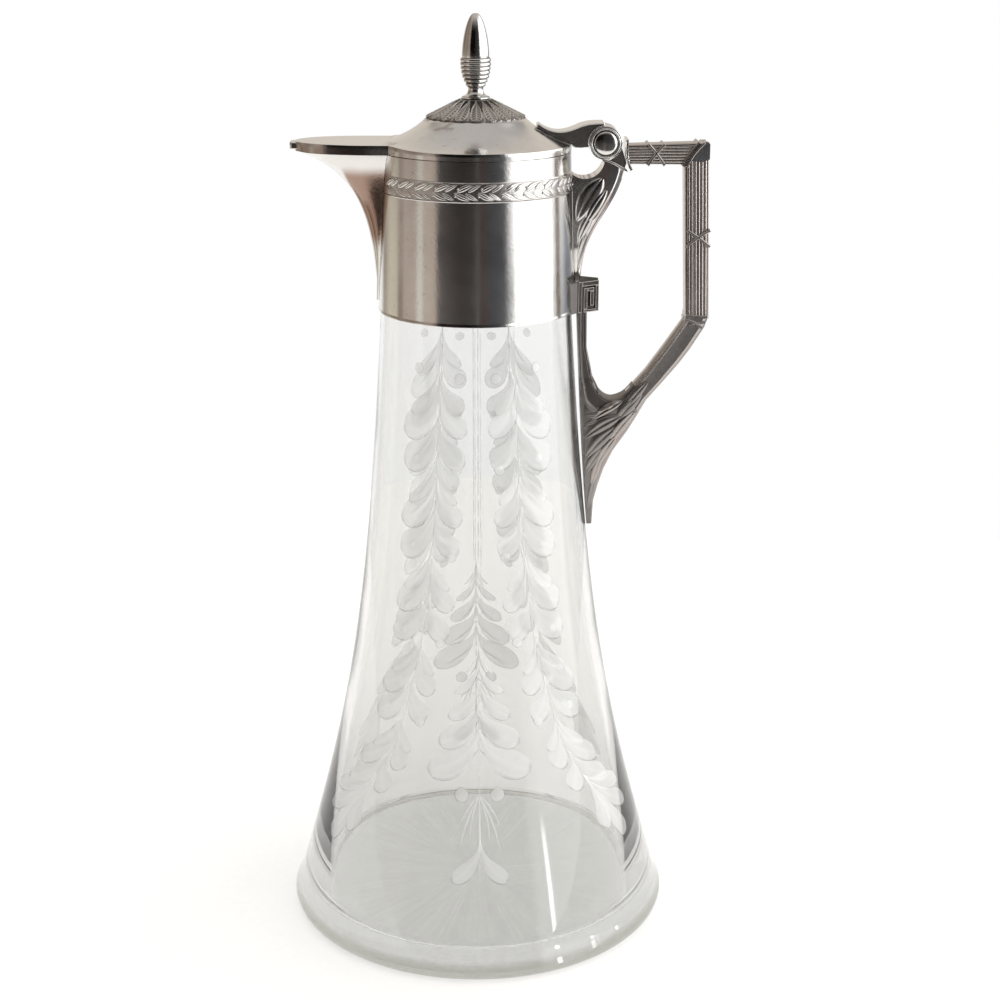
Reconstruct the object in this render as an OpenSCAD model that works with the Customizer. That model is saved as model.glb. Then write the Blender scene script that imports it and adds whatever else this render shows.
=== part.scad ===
// Claret jug: a tall cut-glass body in silver-plated mounts, with a spout, a hinged lid and a
// square reeded handle. The origin is the centre of the foot's underside, +Z is up,
// the handle is on +X and the spout on -X. All sizes are millimetres.

/* [Glass] */
// Radius of the foot where it is widest
foot_r = 82.5; // [80:0.5:85]
// Height of the upright band round the foot
foot_band_h = 9; // [7:0.5:10]
// Thickness of the glass floor
floor_t = 8.5; // [7:0.5:10]
// Radius of the glass just under the collar
neck_r = 39.2; // [38.8:0.1:39.2]
// Bore of the glass mouth, hidden in the collar
mouth_bore_r = 34.6; // [33:0.1:35]

/* [Collar] */
// Height of the collar's lower edge
collar_z = 267.4; // [266.5:0.1:268]
// Length of the collar
collar_h = 64.2; // [64:0.1:64.4]
// Outer radius of the collar's lower edge
collar_low_r = 40.1; // [40:0.1:40.3]
// Outer radius of the collar's upper edge
collar_top_r = 38.4; // [38.2:0.1:38.6]
// Thickness of the collar's sheet metal
collar_t = 0.7; // [0.6:0.1:0.8]
// Height of the laurel band above the collar's lower edge
laurel_up = 48.8; // [46:0.1:50]
// Width of the laurel band
laurel_w = 7.8; // [7:0.1:9]
// Number of leaf pairs in a full turn of the laurel band
laurel_pairs = 24; // [20:1:28]

/* [Spout] */
// Reach of the spout's lip from the axis
spout_reach = 70.8; // [68:0.1:72]
// Half the width of the spout's mouth
spout_half_w = 16.2; // [15:0.1:17]
// Thickness of the spout's wall
spout_t = 0.9; // [0.8:0.1:1.2]

/* [Lid] */
// Radius of the lid's rim
lid_r = 38.5; // [38.4:0.1:38.8]
// Gap between the closed lid and the collar
lid_gap = 0.2; // [0.15:0.05:0.3]
// Reach of the lid's tongue over the spout
tongue_reach = 74.3; // [73:0.1:75]
// Half the width of the tongue
tongue_half_w = 17; // [16:0.1:17.5]
// Radius of the leaf rosette under the finial
rosette_r = 20; // [18:0.1:21]
// Number of leaves on the rosette
rosette_leaves = 16; // [12:1:20]
// Height of the finial's tip above the table
finial_top = 385; // [380:1:388]

/* [Hinge] */
// Distance of the hinge pin from the axis
hinge_x = 51.8; // [51.5:0.1:52.2]
// Height of the hinge pin
hinge_z = 335.1; // [334.9:0.1:335.3]
// Radius of the hinge pin
pin_r = 1.6; // [1.4:0.1:2]
// Running clearance between pin and knuckle
pin_play = 0.05; // [0.03:0.01:0.08]
// Radius of the two hinge ears
ear_r = 6.7; // [6.4:0.1:6.8]
// Width over both ears
hinge_w = 13; // [12:0.5:14]
// Width of the lid's knuckle between the ears
knuckle_w = 6; // [5:0.5:7]

/* [Handle] */
// Height of the top bar's centre line
bar_z = 330.4; // [330:0.1:330.6]
// Width of the reeded bars, seen from the side
bar_w = 9; // [8.6:0.1:9.2]
// Depth of the reeded bars, front to back
bar_d = 10.4; // [9.6:0.1:11]
// Number of reeds on each reeded face
reed_count = 6; // [5:1:7]
// Width of the plain diagonal brace, seen from the side
brace_w = 8.7; // [8.2:0.1:9]

/* [Hidden] */
$fn = 96;

glass_tint = [0.82, 0.87, 0.85, 0.4];
silver = [0.76, 0.74, 0.71];
old_silver = [0.52, 0.49, 0.47];
plaster = [0.9, 0.88, 0.82];
brass = [0.78, 0.62, 0.36];

touch = 0.02;
far = 200;
collar_top = collar_z + collar_h;
lid_z = collar_top + lid_gap;
rim_top = lid_z + 2.85;
rosette_z = rim_top + 10.25;
cone_top = rosette_z + 7;
hinge = [hinge_x, hinge_z];

// A point on a cubic curve between a and d, pulled towards b and c
function curve_point(a, b, c, d, t) =
    pow(1 - t, 3) * a + 3 * pow(1 - t, 2) * t * b + 3 * (1 - t) * t * t * c + pow(t, 3) * d;
function curve(a, b, c, d, steps) = [for (i = [0:steps]) curve_point(a, b, c, d, i / steps)];
function arc(centre, r, from, to, steps) =
    [for (i = [0:steps]) let (a = from + (to - from) * i / steps) centre + r * [cos(a), sin(a)]];
function flipped(points) = [for (i = [len(points) - 1:-1:0]) points[i]];
function by_height(points) = [for (p = points) [p[1], p[0]]];

// Closes a solid through a stack of level rings that all have the same number of points.
// The rings of a bent sheet double back on themselves, so its ends are strips of small faces.
module loft(rings, bent_sheet = false) {
    n = len(rings);
    m = len(rings[0]);
    low_end = bent_sheet
        ? [for (j = [0:m / 2 - 2]) [j, j + 1, m - 2 - j, m - 1 - j]]
        : [[for (j = [0:m - 1]) j]];
    high_end = [for (face = low_end) flipped([for (j = face) (n - 1) * m + j])];
    polyhedron(
        points = [for (ring = rings) each ring],
        faces = concat(
            low_end,
            high_end,
            [for (i = [0:n - 2], j = [0:m - 1]) [i * m + j, (i + 1) * m + j, (i + 1) * m + (j + 1) % m]],
            [for (i = [0:n - 2], j = [0:m - 1]) [i * m + j, (i + 1) * m + (j + 1) % m, i * m + (j + 1) % m]]
        )
    );
}

// Extrudes a side view, drawn in X and Z, evenly to both sides of the handle's plane
module side_view(depth) {
    rotate([90, 0, 0])
        linear_extrude(depth, center = true)
            children();
}

// Glass

foot_kink = [foot_r - 2.5, foot_band_h];
glass_side = curve(foot_kink, [57.7, 85.5], [46.8, 132.2], [neck_r, collar_z + 2.6], 40);
glass_heights = by_height(glass_side);
inner_foot = [69.6, floor_t + 2.5];
neck_z = collar_z + 2.6;
glass_bore = curve(inner_foot, [52.6, 115], [47.1, 94], [neck_r - 2.2, neck_z], 40);
mouth_z = collar_z + 34.6;
mouth_r = mouth_bore_r + 2.7;
function glass_r(z) = lookup(z, glass_heights);

module glass_body() {
    lip_r = (mouth_r - mouth_bore_r) / 2;
    lip = [mouth_bore_r + lip_r, mouth_z - lip_r];
    color(glass_tint)
        rotate_extrude()
            polygon(concat(
                [[0, 0]],
                arc([foot_r - 4, 4], 4, -90, 10, 10),
                glass_side,
                [[mouth_r + 0.4, collar_z + 8]],
                arc(lip, lip_r, 0, 180, 12),
                [[mouth_bore_r, collar_z + 12]],
                flipped(glass_bore),
                arc([inner_foot[0] - 2.5, floor_t + 2.5], 2.5, -15, -90, 6),
                [[0, floor_t]]
            ));
}

module plaster_bed() {
    bed_low = collar_z + 8;
    bed_high = mouth_z - 4;
    color(plaster)
        rotate_extrude()
            polygon([
                [mouth_r + 0.42, bed_low],
                [collar_r(bed_low) - collar_t - 0.05, bed_low],
                [collar_r(bed_high) - collar_t - 0.05, bed_high],
                [mouth_r + 0.42, bed_high]
            ]);
}

// Collar

function collar_r(z) = collar_low_r + (collar_top_r - collar_low_r) * (z - collar_z) / collar_h;

module collar() {
    color(silver)
        difference() {
            rotate_extrude()
                polygon([
                    [collar_low_r - collar_t, collar_z],
                    [collar_low_r, collar_z],
                    [collar_top_r, collar_top],
                    [collar_top_r - collar_t, collar_top]
                ]);
            spout_opening();
        }
}

// The way out of the collar into the spout, with an arched foot
module spout_opening() {
    half_w = 10;
    sill = mouth_z + 4;
    rotate([90, 0, -90])
        linear_extrude(far)
            union() {
                translate([0, sill + half_w])
                    circle(half_w);
                translate([-half_w, sill + half_w])
                    square([2 * half_w, far]);
            }
}

// The laurel band is a strip with two thin borders and raised leaves, open behind the spout
module laurel_band() {
    low = collar_z + laurel_up;
    high = low + laurel_w;
    border = 0.6;
    ground = 0.25;
    relief = 0.75;
    pitch = 360 / laurel_pairs;
    color(silver)
        difference() {
            union() {
                band_ring(low, high, ground);
                band_ring(low, low + border, relief);
                band_ring(high - border, high, relief);
                for (i = [0:laurel_pairs - 1])
                    rotate([0, 0, (i + 0.5) * pitch])
                        laurel_pair((low + high) / 2, relief);
            }
            translate([-far, -spout_half_width(low) - 1.5, low - 1])
                cube([far, 2 * spout_half_width(low) + 3, laurel_w + 2]);
            translate([0, -strut_half_w(low) - 0.3, low - 1])
                cube([far, 2 * strut_half_w(low) + 0.6, laurel_w + 2]);
        }
}

module band_ring(from, to, proud) {
    rotate_extrude()
        polygon([
            [collar_r(from) + touch, from],
            [collar_r(from) + proud, from],
            [collar_r(to) + proud, to],
            [collar_r(to) + touch, to]
        ]);
}

// Two leaves that lean away from a middle stem, standing on the collar
module laurel_pair(middle, relief) {
    for (side = [-1, 1])
        translate([collar_r(middle - laurel_w / 2) + touch, 0, middle])
            rotate([90, 0, 90])
                rotate([0, 0, side * 24])
                    linear_extrude(relief)
                        translate([0.8, 0])
                            polygon([[-3.6, 0], [-1.6, 1.1], [0.8, 1.1], [3.6, 0], [0.8, -1.1], [-1.6, -1.1]]);
}

// Spout

spout_foot = collar_z + 3.6;
spout_top = collar_top;
spout_keel = by_height(curve([39.9, spout_foot], [42.7, 293.6], [40.5, 320.1], [spout_reach, spout_top], 40));
spout_sides = by_height(curve([1.6, spout_foot], [13.5, 299], [10, 324], [spout_half_w, spout_top], 40));
function spout_x(z) = max(lookup(z, spout_keel), collar_r(z) + 1);
function spout_half_width(z) = lookup(z, spout_sides);
spout_rows = 20;
spout_columns = 10;

// Rows crowd together towards the lip, where the spout flares fastest
function spout_row_z(i) = spout_foot + (spout_top - spout_foot) * (1 - pow(1 - i / spout_rows, 1.5));

// The level outline of the spout, moved inwards by the wall when inset is above 0
function spout_outline(z, inset) = let (
    half_w = max(spout_half_width(z) - inset * 0.9, 0.5),
    root = sqrt(pow(collar_r(z) + 0.1, 2) - half_w * half_w),
    keel = max(spout_x(z) - inset, collar_r(z) + 0.4)
) [for (i = [0:spout_columns])
    let (a = -90 + 180 * i / spout_columns)
    [-(root + (keel - root) * pow(cos(a), 0.9)), -half_w * sin(a), z]];

function spout_wall(z) = let (slope = (spout_x(z + 0.3) - spout_x(z - 0.3)) / 0.6)
    spout_t * sqrt(1 + slope * slope);

module spout() {
    color(silver)
        loft([
            for (i = [0:spout_rows])
                let (z = spout_row_z(i))
                concat(spout_outline(z, 0), flipped(spout_outline(z, min(spout_wall(z), 3.4))))
        ], bent_sheet = true);
}

// Lid

dome_side = curve(
    [lid_r, rim_top], [32, rim_top + 1.55],
    [24.5, rosette_z - 4.9], [rosette_r, rosette_z - 0.6], 20
);
tongue_z = rim_top + 0.75;
tongue_low = lid_z + 0.2;
sheet = 1;

module lid_cover() {
    rim_t = 2.3;
    color(silver)
        union() {
            rotate_extrude()
                polygon(concat(
                    [[lid_r - rim_t, lid_z], [lid_r, lid_z]],
                    dome_side,
                    [
                        [pin_r + 0.8, cone_top - 0.6],
                        [pin_r + 0.8, cone_top - 0.6 - sheet],
                        [rosette_r - 0.3, rosette_z - 0.6 - 1.1 * sheet]
                    ],
                    [for (p = flipped(dome_side)) if (p[0] > rosette_r + 2 && p[0] < lid_r - rim_t) p - [0.4, sheet]],
                    [[lid_r - rim_t, rim_top - sheet]]
                ));
            difference() {
                tongue_plate(0, tongue_low, tongue_z);
                tongue_plate(sheet, tongue_low - 1, tongue_z - sheet);
                translate([0, 0, tongue_low - 1])
                    cylinder(r = lid_r - rim_t, h = far);
            }
            tongue_tab();
        }
}

// The tongue is a half ellipse that runs back to the rim
module tongue_plate(inset, from, to) {
    nose_x = 42.5;
    nose = tongue_reach - 1.8 - nose_x - inset;
    half_w = tongue_half_w - inset;
    root_x = 30;
    translate([0, 0, from])
        linear_extrude(to - from)
            polygon(concat(
                [[-root_x, -half_w]],
                [for (i = [0:32]) let (a = -90 + 180 * i / 32) [-nose_x - nose * cos(a), half_w * sin(a)]],
                [[-root_x, half_w]]
            ));
}

module tongue_tab() {
    half_w = 4.5;
    round_r = 1.2;
    translate([0, 0, tongue_low + 0.7])
        linear_extrude(tongue_z - tongue_low - 0.7)
            union() {
                translate([-tongue_reach, round_r - half_w])
                    square([5, 2 * half_w - 2 * round_r]);
                translate([round_r - tongue_reach, -half_w])
                    square([5 - round_r, 2 * half_w]);
                for (side = [-1, 1])
                    translate([round_r - tongue_reach, side * (half_w - round_r)])
                        circle(round_r);
            }
}

// The bezel drops inside the collar and centres the closed lid
module lid_bezel() {
    outer = collar_top_r - collar_t - 0.6;
    wall = 0.8;
    drop = 4.2;
    half_gap = 15;
    color(silver)
        difference() {
            translate([0, 0, lid_z - drop])
                cylinder(r = outer, h = drop);
            translate([0, 0, lid_z - drop - 1])
                cylinder(r = outer - wall, h = drop + 2);
            translate([-far, -half_gap, lid_z - drop - 1])
                cube([far, 2 * half_gap, drop + 2]);
        }
}

// The rosette is a stamped cone with raised leaves, held under the finial
module lid_rosette() {
    hole_r = pin_r + 0.15;
    relief = 0.45;
    color(old_silver)
        difference() {
            union() {
                cone_shell(rosette_r);
                for (i = [0:rosette_leaves - 1])
                    rotate([0, 0, (i + 0.5) * 360 / rosette_leaves])
                        rosette_leaf(relief);
            }
            translate([0, 0, rosette_z - 5])
                cylinder(r = hole_r, h = 20);
        }
}

rosette_flat_r = 5.9;
rosette_slope = (cone_top - rosette_z) / (rosette_r - rosette_flat_r);

module cone_shell(r) {
    edge_t = 0.55;
    rotate_extrude()
        polygon([
            [0, cone_top - edge_t],
            [rosette_flat_r, cone_top - edge_t],
            [r, rosette_z - edge_t],
            [r, rosette_z],
            [rosette_flat_r, cone_top],
            [0, cone_top]
        ]);
}

// A leaf that lies along the cone and points to its edge
module rosette_leaf(relief) {
    middle = 12.9;
    sunk = 0.25;
    translate([middle, 0, rosette_z + rosette_slope * (rosette_r - middle)])
        rotate([0, atan(rosette_slope), 0])
            translate([0, 0, -sunk])
                linear_extrude(relief + sunk)
                    polygon([[-6, 0], [-3, 1], [2, 2.1], [5, 1.7], [6.9, 0], [5, -1.7], [2, -2.1], [-3, -1]]);
}

// Finial

foot_z = cone_top + 0.1;
waist_z = foot_z + 2.2;
ribs_z = waist_z + 2.6;
bud_z = foot_z + 15.9;
rib_radii = [4.05, 4.8, 5.45, 5.85, 6.05, 6.2, 6.25];
rib_pitch = (bud_z - ribs_z) / len(rib_radii);

module finial() {
    color(silver)
        difference() {
            union() {
                rotate_extrude()
                    polygon(concat(
                        [[0, foot_z], [5.4, foot_z], [5.7, foot_z + 0.3], [5.7, foot_z + 0.7]],
                        curve([5.2, foot_z + 1], [3.4, foot_z + 1.4], [3, waist_z], [2.9, waist_z + 1], 6),
                        curve(
                            [2.95, waist_z + 1.5], [3.1, ribs_z - 0.7],
                            [3.3, ribs_z], [3.5, ribs_z + 0.3], 4
                        ),
                        [[5.4, bud_z - 0.6], [5.4, bud_z]],
                        curve([5.45, bud_z], [5.3, bud_z + 7.5], [3, finial_top], [0, finial_top], 18)
                    ));
                for (i = [0:len(rib_radii) - 1])
                    translate([0, 0, ribs_z + (i + 0.5) * rib_pitch])
                        rib(rib_radii[i], rib_pitch + 0.1);
            }
            translate([0, 0, foot_z - 1])
                cylinder(r = pin_r, h = 9);
        }
}

// One rounded rib of the finial
module rib(r, width) {
    rotate_extrude()
        intersection() {
            translate([r - width / 2, 0])
                circle(width / 2);
            translate([0, -width])
                square([far, 2 * width]);
        }
}

module finial_stud() {
    color(brass)
        translate([0, 0, foot_z - 10])
            cylinder(r = pin_r - touch, h = 17.5);
}

module finial_washer() {
    color(brass)
        difference() {
            translate([0, 0, cone_top - 3.25])
                cylinder(r = 4.2, h = 0.8);
            translate([0, 0, cone_top - 4])
                cylinder(r = pin_r + touch, h = 4);
        }
}

module finial_nut() {
    color(brass)
        difference() {
            translate([0, 0, cone_top - 5.9])
                cylinder(r = 3.6, h = 2.6, $fn = 6);
            translate([0, 0, cone_top - 6])
                cylinder(r = pin_r + touch, h = 5);
        }
}

// Hinge

cheek_w = (hinge_w - knuckle_w) / 2;

module at_hinge() {
    translate([hinge_x, 0, hinge_z])
        children();
}

// A cylinder along the hinge pin
module hinge_barrel(r, from, to) {
    at_hinge()
        translate([0, from, 0])
            rotate([-90, 0, 0])
                cylinder(r = r, h = to - from);
}

module pair_of_ears(r) {
    hinge_barrel(r, -hinge_w / 2, -knuckle_w / 2);
    hinge_barrel(r, knuckle_w / 2, hinge_w / 2);
}

saddle_in = ear_r + 0.3;
saddle_out = ear_r + 0.9;

// The fixed half of the hinge: two ears on a saddle that carries the top bar and the strut
module hinge_bracket() {
    color(silver)
        difference() {
            union() {
                pair_of_ears(ear_r);
                side_view(hinge_w)
                    hinge_sector(ear_r - 1, saddle_out, -9, -128);
            }
            hinge_barrel(saddle_in, -knuckle_w / 2 - 0.15, knuckle_w / 2 + 0.15);
            hinge_barrel(pin_r + touch, -far, far);
        }
}

// Part of a ring round the hinge pin, between two angles in the side view
module hinge_sector(inner, outer, from, to) {
    translate(hinge)
        polygon(concat(arc([0, 0], outer, from, to, 20), flipped(arc([0, 0], inner, from, to, 20))));
}

module hinge_pin() {
    color(brass)
        hinge_barrel(pin_r, -hinge_w / 2, hinge_w / 2);
}

// A turned rosette closes each end of the pin: a ringed disc with a domed button
module hinge_rosettes() {
    color(silver)
        for (turn = [0, 180])
            at_hinge()
                rotate([90, 0, turn])
                    translate([0, 0, hinge_w / 2])
                        rotate_extrude()
                            polygon(concat(
                                [[0, 0.02], [6, 0.02], [6, 0.5], [5.7, 0.75], [5.3, 0.75], [5.1, 0.45]],
                                [[4.7, 0.45], [4.6, 0.9]],
                                curve([4.5, 1.2], [4, 1.75], [2, 1.95], [0, 1.95], 8)
                            ));
}

// The arm is a scrolled strap from the dome to the knuckle, with a square stop at its end
module lid_arm() {
    stop_r = 7.7;
    arm_top = concat(
        [[24.2, rim_top + 6.6], [24.6, rim_top + 7.6], [25.6, rim_top + 7.7]],
        curve([27.5, rim_top + 6.6], [33, rim_top + 4], [38, rim_top + 5.6], [42, rim_top + 7.3], 12),
        [[45, hinge_z + stop_r], [hinge_x - 0.3, hinge_z + stop_r]]
    );
    color(silver)
        difference() {
            union() {
                difference() {
                    intersection() {
                        side_view(hinge_w)
                            polygon(concat(arm_top, [
                                [hinge_x - 0.3, hinge_z],
                                [hinge_x, hinge_z - 2.3],
                                [hinge_x - 6, hinge_z - 1.7],
                                [lid_r + 1.2, rim_top - 1.6],
                                [lid_r + 0.05, rim_top - 1.2],
                                [lid_r - 2, rim_top - 0.5],
                                [24, rim_top + 1]
                            ]));
                        arm_plan();
                    }
                    pair_of_ear_recesses();
                    lid_shape();
                }
                hinge_barrel(ear_r - 0.1, -knuckle_w / 2 + 0.1, knuckle_w / 2 - 0.1);
            }
            hinge_barrel(pin_r + pin_play, -far, far);
        }
}

// Round pockets in the arm's cheeks leave room for the ears and their rosettes
module pair_of_ear_recesses() {
    reach = hinge_w;
    hinge_barrel(ear_r + 0.35, -reach, -knuckle_w / 2 + 0.1);
    hinge_barrel(ear_r + 0.35, knuckle_w / 2 - 0.1, reach);
}

// The arm seen from above, narrower at its scrolled tip
module arm_plan() {
    tip_w = 8;
    translate([0, 0, lid_z - 5])
        linear_extrude(30)
            polygon([
                [20, -tip_w / 2],
                [hinge_x - 14, -hinge_w / 2 + 0.6],
                [hinge_x - 9, -hinge_w / 2],
                [hinge_x + 10, -hinge_w / 2],
                [hinge_x + 10, hinge_w / 2],
                [hinge_x - 9, hinge_w / 2],
                [hinge_x - 14, hinge_w / 2 - 0.6],
                [20, tip_w / 2]
            ]);
}

// The outer shape of the lid, filled, to seat the arm on it
module lid_shape() {
    rotate_extrude()
        polygon(concat(
            [[0, lid_z - 5], [lid_r + touch, lid_z - 5], [lid_r + touch, rim_top]],
            [for (p = dome_side) p + [touch, touch]],
            [[0, rosette_z]]
        ));
}

// Bracket under the hinge

gap_centre = [43.6, 328.9];
gap_r = 8;
strut_low = collar_z + 11.9;
strut_high = gap_centre[1] + 1;
strut_side = by_height(concat(
    curve([42.7, strut_low], [43.7, 301.9], [55.6, 306.1], [59.8, 323.6], 24),
    [[60.3, 325], [60.3, 340]]
));
function strut_x(z) = lookup(z, strut_side);
function strut_half_w(z) = lookup(z, [[strut_low, 1.8], [292, 4.2], [305, 6.2], [318, 6.6], [330, 6.2]]);

function strut_slice(z) = let (
    half_w = strut_half_w(z),
    root = collar_r(z) + 0.05,
    tip = strut_x(z),
    bevel = min(2.2, (tip - root) * 0.45)
) [
    for (i = [0:6])
        let (y = half_w * (1 - i / 3))
        [sqrt(pow(root, 2) - y * y), y, z],
    [root + (tip - root) * 0.3, -half_w * 0.96, z],
    [tip - bevel, -half_w * 0.84, z],
    [tip - 0.3, -half_w * 0.45, z],
    [tip, 0, z],
    [tip - 0.3, half_w * 0.45, z],
    [tip - bevel, half_w * 0.84, z],
    [root + (tip - root) * 0.3, half_w * 0.96, z]
];

// The strut springs from the collar as a leaf and rises to the hinge, past a round gap
module bracket_strut() {
    rows = 22;
    color(silver)
        difference() {
            loft([for (i = [0:rows]) strut_slice(strut_low + (strut_high - strut_low) * i / rows)]);
            side_view(far)
                translate(gap_centre)
                    circle(gap_r);
            hinge_barrel(saddle_out + touch, -far, far);
        }
}

// A narrow bead covers the joint between the bracket and the top bar
bar_end_top = [60.3, 336];
bar_end_low = [61.8, 324.6];

module bracket_bead() {
    seat = saddle_out + touch;
    strut_edge = strut_x(strut_high) + touch;
    strut_angle = asin((strut_high + touch - hinge_z) / seat);
    color(silver)
        side_view(bar_d + 1.6)
            polygon(concat(
                [[strut_edge, bar_end_low[1] - 0.2], bar_end_low - [0.5, 0.5], bar_end_low - [touch, 0]],
                [bar_end_top - [touch, 2.4] + [0.3, 0]],
                arc(hinge, seat, -12, strut_angle, 8),
                [[strut_edge, strut_high + touch]]
            ));
}

// Handle

corner_out = [93.4, bar_z + bar_w / 2];
corner_in = [83.9, bar_z - bar_w / 2];
elbow_out = [95.7, 263.2];
elbow_in = [86.1, 264.6];
brace_angle = 35.2;
brace_dir = [sin(brace_angle), cos(brace_angle)];
brace_end = 43;
lean = atan2(corner_out[0] - elbow_out[0], corner_out[1] - elbow_out[1]);
mitre_gap = 0.02;

// The square section of the bars, with reeds on the front and back faces
module reeded_section() {
    pitch = (bar_w - 1) / reed_count;
    reed_r = pitch * 0.56;
    flat_d = bar_d / 2 - reed_r * 0.75;
    union() {
        square([bar_w, 2 * flat_d - 1.2], center = true);
        square([bar_w - 1, 2 * flat_d], center = true);
        for (side = [-1, 1], i = [0:reed_count - 1])
            translate([(i - (reed_count - 1) / 2) * pitch, side * (bar_d / 2 - reed_r)])
                circle(reed_r, $fn = 24);
    }
}

// The section of a ribbon that wraps a bar and lies on the crowns of its reeds
module ribbon_section(proud) {
    difference() {
        square([bar_w + 2 * proud, bar_d + 2 * proud], center = true);
        square([bar_w + 2 * touch, bar_d + 2 * touch], center = true);
    }
}

module top_bar_place() {
    translate([hinge_x, 0, bar_z])
        rotate([0, 90, 0])
            linear_extrude(60)
                children();
}

module grip_place() {
    middle = (elbow_in + elbow_out) / 2;
    translate([middle[0], 0, middle[1]])
        rotate([0, lean, 0])
            translate([0, 0, -20])
                linear_extrude(110)
                    children();
}

module brace_place() {
    middle = (elbow_in + elbow_out) / 2;
    translate([middle[0], 0, middle[1]])
        rotate([0, brace_angle, 0])
            translate([0, 0, -60])
                linear_extrude(80)
                    children();
}

// The part of the side view that belongs to each bar, split along the mitres
module top_bar_zone() {
    step = corner_out - corner_in;
    polygon([bar_end_low, corner_in - 0.3 * step, corner_out + 0.3 * step, bar_end_top]);
}

module grip_zone() {
    up = corner_out - corner_in;
    down = elbow_out - elbow_in;
    polygon([
        corner_in - 0.3 * up + [mitre_gap, 0],
        corner_out + up + [mitre_gap, 0],
        elbow_out + down + [0, mitre_gap],
        elbow_in - 0.3 * down + [0, mitre_gap]
    ]);
}

module brace_zone() {
    down = elbow_out - elbow_in;
    low = (elbow_in + elbow_out) / 2 - brace_end * brace_dir;
    across = [brace_dir[1], -brace_dir[0]];
    polygon([
        elbow_in - 0.5 * down,
        elbow_out + 0.5 * down,
        low + 12 * across,
        low - 12 * across
    ]);
}

module handle_top_bar() {
    color(old_silver)
        intersection() {
            top_bar_place()
                reeded_section();
            side_view(30)
                top_bar_zone();
        }
}

module handle_grip() {
    color(old_silver)
        intersection() {
            grip_place()
                reeded_section();
            side_view(30)
                grip_zone();
        }
}

module handle_brace() {
    half = brace_w / 2;
    deep = bar_d / 2 - 0.2;
    color(old_silver)
        intersection() {
            brace_place()
                polygon([
                    [-half, -2.6], [-half + 1.7, -deep], [half - 2, -deep], [half, -2.2],
                    [half, 2.2], [half - 2, deep], [-half + 1.7, deep], [-half, 2.6]
                ]);
            side_view(30)
                brace_zone();
        }
}

// The inner edge of the stem and the lower mount, which stand a little off the glass
function standoff(z) = lookup(z, [[173, 0.35], [215, 1.2], [262, 2]]);
function mount_in(z) = glass_r(z) + standoff(z);

tip_z = 173.4;
stem_low = 238;
u_curve = curve([45.6, 254], [46.6, 236], [54, 216], [71.2, 242.6], 24);
outer_low = (elbow_in + elbow_out) / 2 + (brace_w / 2) * [brace_dir[1], -brace_dir[0]];
function brace_outer_x(z) = outer_low[0] + (z - outer_low[1]) * tan(brace_angle);
mount_side = by_height(concat(
    curve([mount_in(tip_z) + 2, tip_z], [49.4, 190], [55, 205], [brace_outer_x(222), 222], 20),
    [[brace_outer_x(250), 250]]
));

function mount_slice(z) = let (
    inner = mount_in(z),
    outer = lookup(z, mount_side),
    back = lookup(z, [[tip_z, 1.4], [190, 4], [208, 6.6], [225, 7.2], [250, 6]]),
    front = lookup(z, [[tip_z, 1], [190, 2], [208, 3.6], [225, 4.6], [250, 4.6]])
) [
    [inner, back * 0.8, z],
    [inner, -back * 0.8, z],
    [inner + (outer - inner) * 0.12, -back, z],
    [inner + (outer - inner) * 0.5, -(back + front) / 2 - 0.3, z],
    [outer - (outer - inner) * 0.12, -front, z],
    [outer, -front * 0.45, z],
    [outer, front * 0.45, z],
    [outer - (outer - inner) * 0.12, front, z],
    [inner + (outer - inner) * 0.5, (back + front) / 2 + 0.3, z],
    [inner + (outer - inner) * 0.12, back, z]
];

// The leafy foot of the handle, forked to take the stem and the brace
module lower_mount() {
    rows = 26;
    high = 250;
    low = (elbow_in + elbow_out) / 2 - (brace_end + mitre_gap) * brace_dir;
    across = [brace_dir[1], -brace_dir[0]];
    color(old_silver)
        difference() {
            loft([for (i = [0:rows]) mount_slice(tip_z + (high - tip_z) * i / rows)]);
            side_view(far)
                polygon(concat(u_curve, [[80, 260], [45.6, 260]]));
            side_view(far)
                polygon([
                    low - 30 * across, low + 12 * across,
                    low + 12 * across + 60 * brace_dir, low - 30 * across + 60 * brace_dir
                ]);
            translate([0, -far / 2, stem_low])
                cube([55, far, far]);
        }
}

function stem_slice(z) = let (
    inner = mount_in(z),
    outer = lookup(z, by_height(flipped([for (i = [0:12]) u_curve[i]]))),
    half_w = 5.6
) [
    [inner, half_w - 0.6, z],
    [inner, 0.6 - half_w, z],
    [inner + 0.7, -half_w, z],
    [outer - 0.9, -3.6, z],
    [outer, -2.4, z],
    [outer, 2.4, z],
    [outer - 0.9, 3.6, z],
    [inner + 0.7, half_w, z]
];

module handle_stem() {
    rows = 10;
    low = stem_low + touch;
    high = collar_z - 1 - touch;
    color(old_silver)
        loft([for (i = [0:rows]) stem_slice(low + (high - low) * i / rows)]);
}

key_low = collar_z - 1;
key_high = collar_z + 11.8;

// The wedge-shaped block on the collar's edge, with a square-cornered fret on both flanks
module key_block() {
    nose = [50.4, 2.6];
    flank = [41.6, 7.6];
    seat = [37.6, 12];
    color(silver)
        difference() {
            translate([0, 0, key_low])
                linear_extrude(key_high - key_low)
                    polygon([
                        [seat[0] - 1, seat[1]], [seat[0] - 1, -seat[1]],
                        [seat[0], -seat[1]], [flank[0], -flank[1]], [nose[0], -nose[1]],
                        [nose[0], nose[1]], [flank[0], flank[1]], [seat[0], seat[1]]
                    ]);
            rotate_extrude()
                polygon([
                    [0, collar_z - 3], [collar_low_r + touch, collar_z - 3],
                    [collar_low_r + touch, collar_z], [collar_top_r + touch, collar_top], [0, collar_top]
                ]);
            for (side = [-1, 1])
                fret(side, flank, nose);
        }
}

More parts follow.
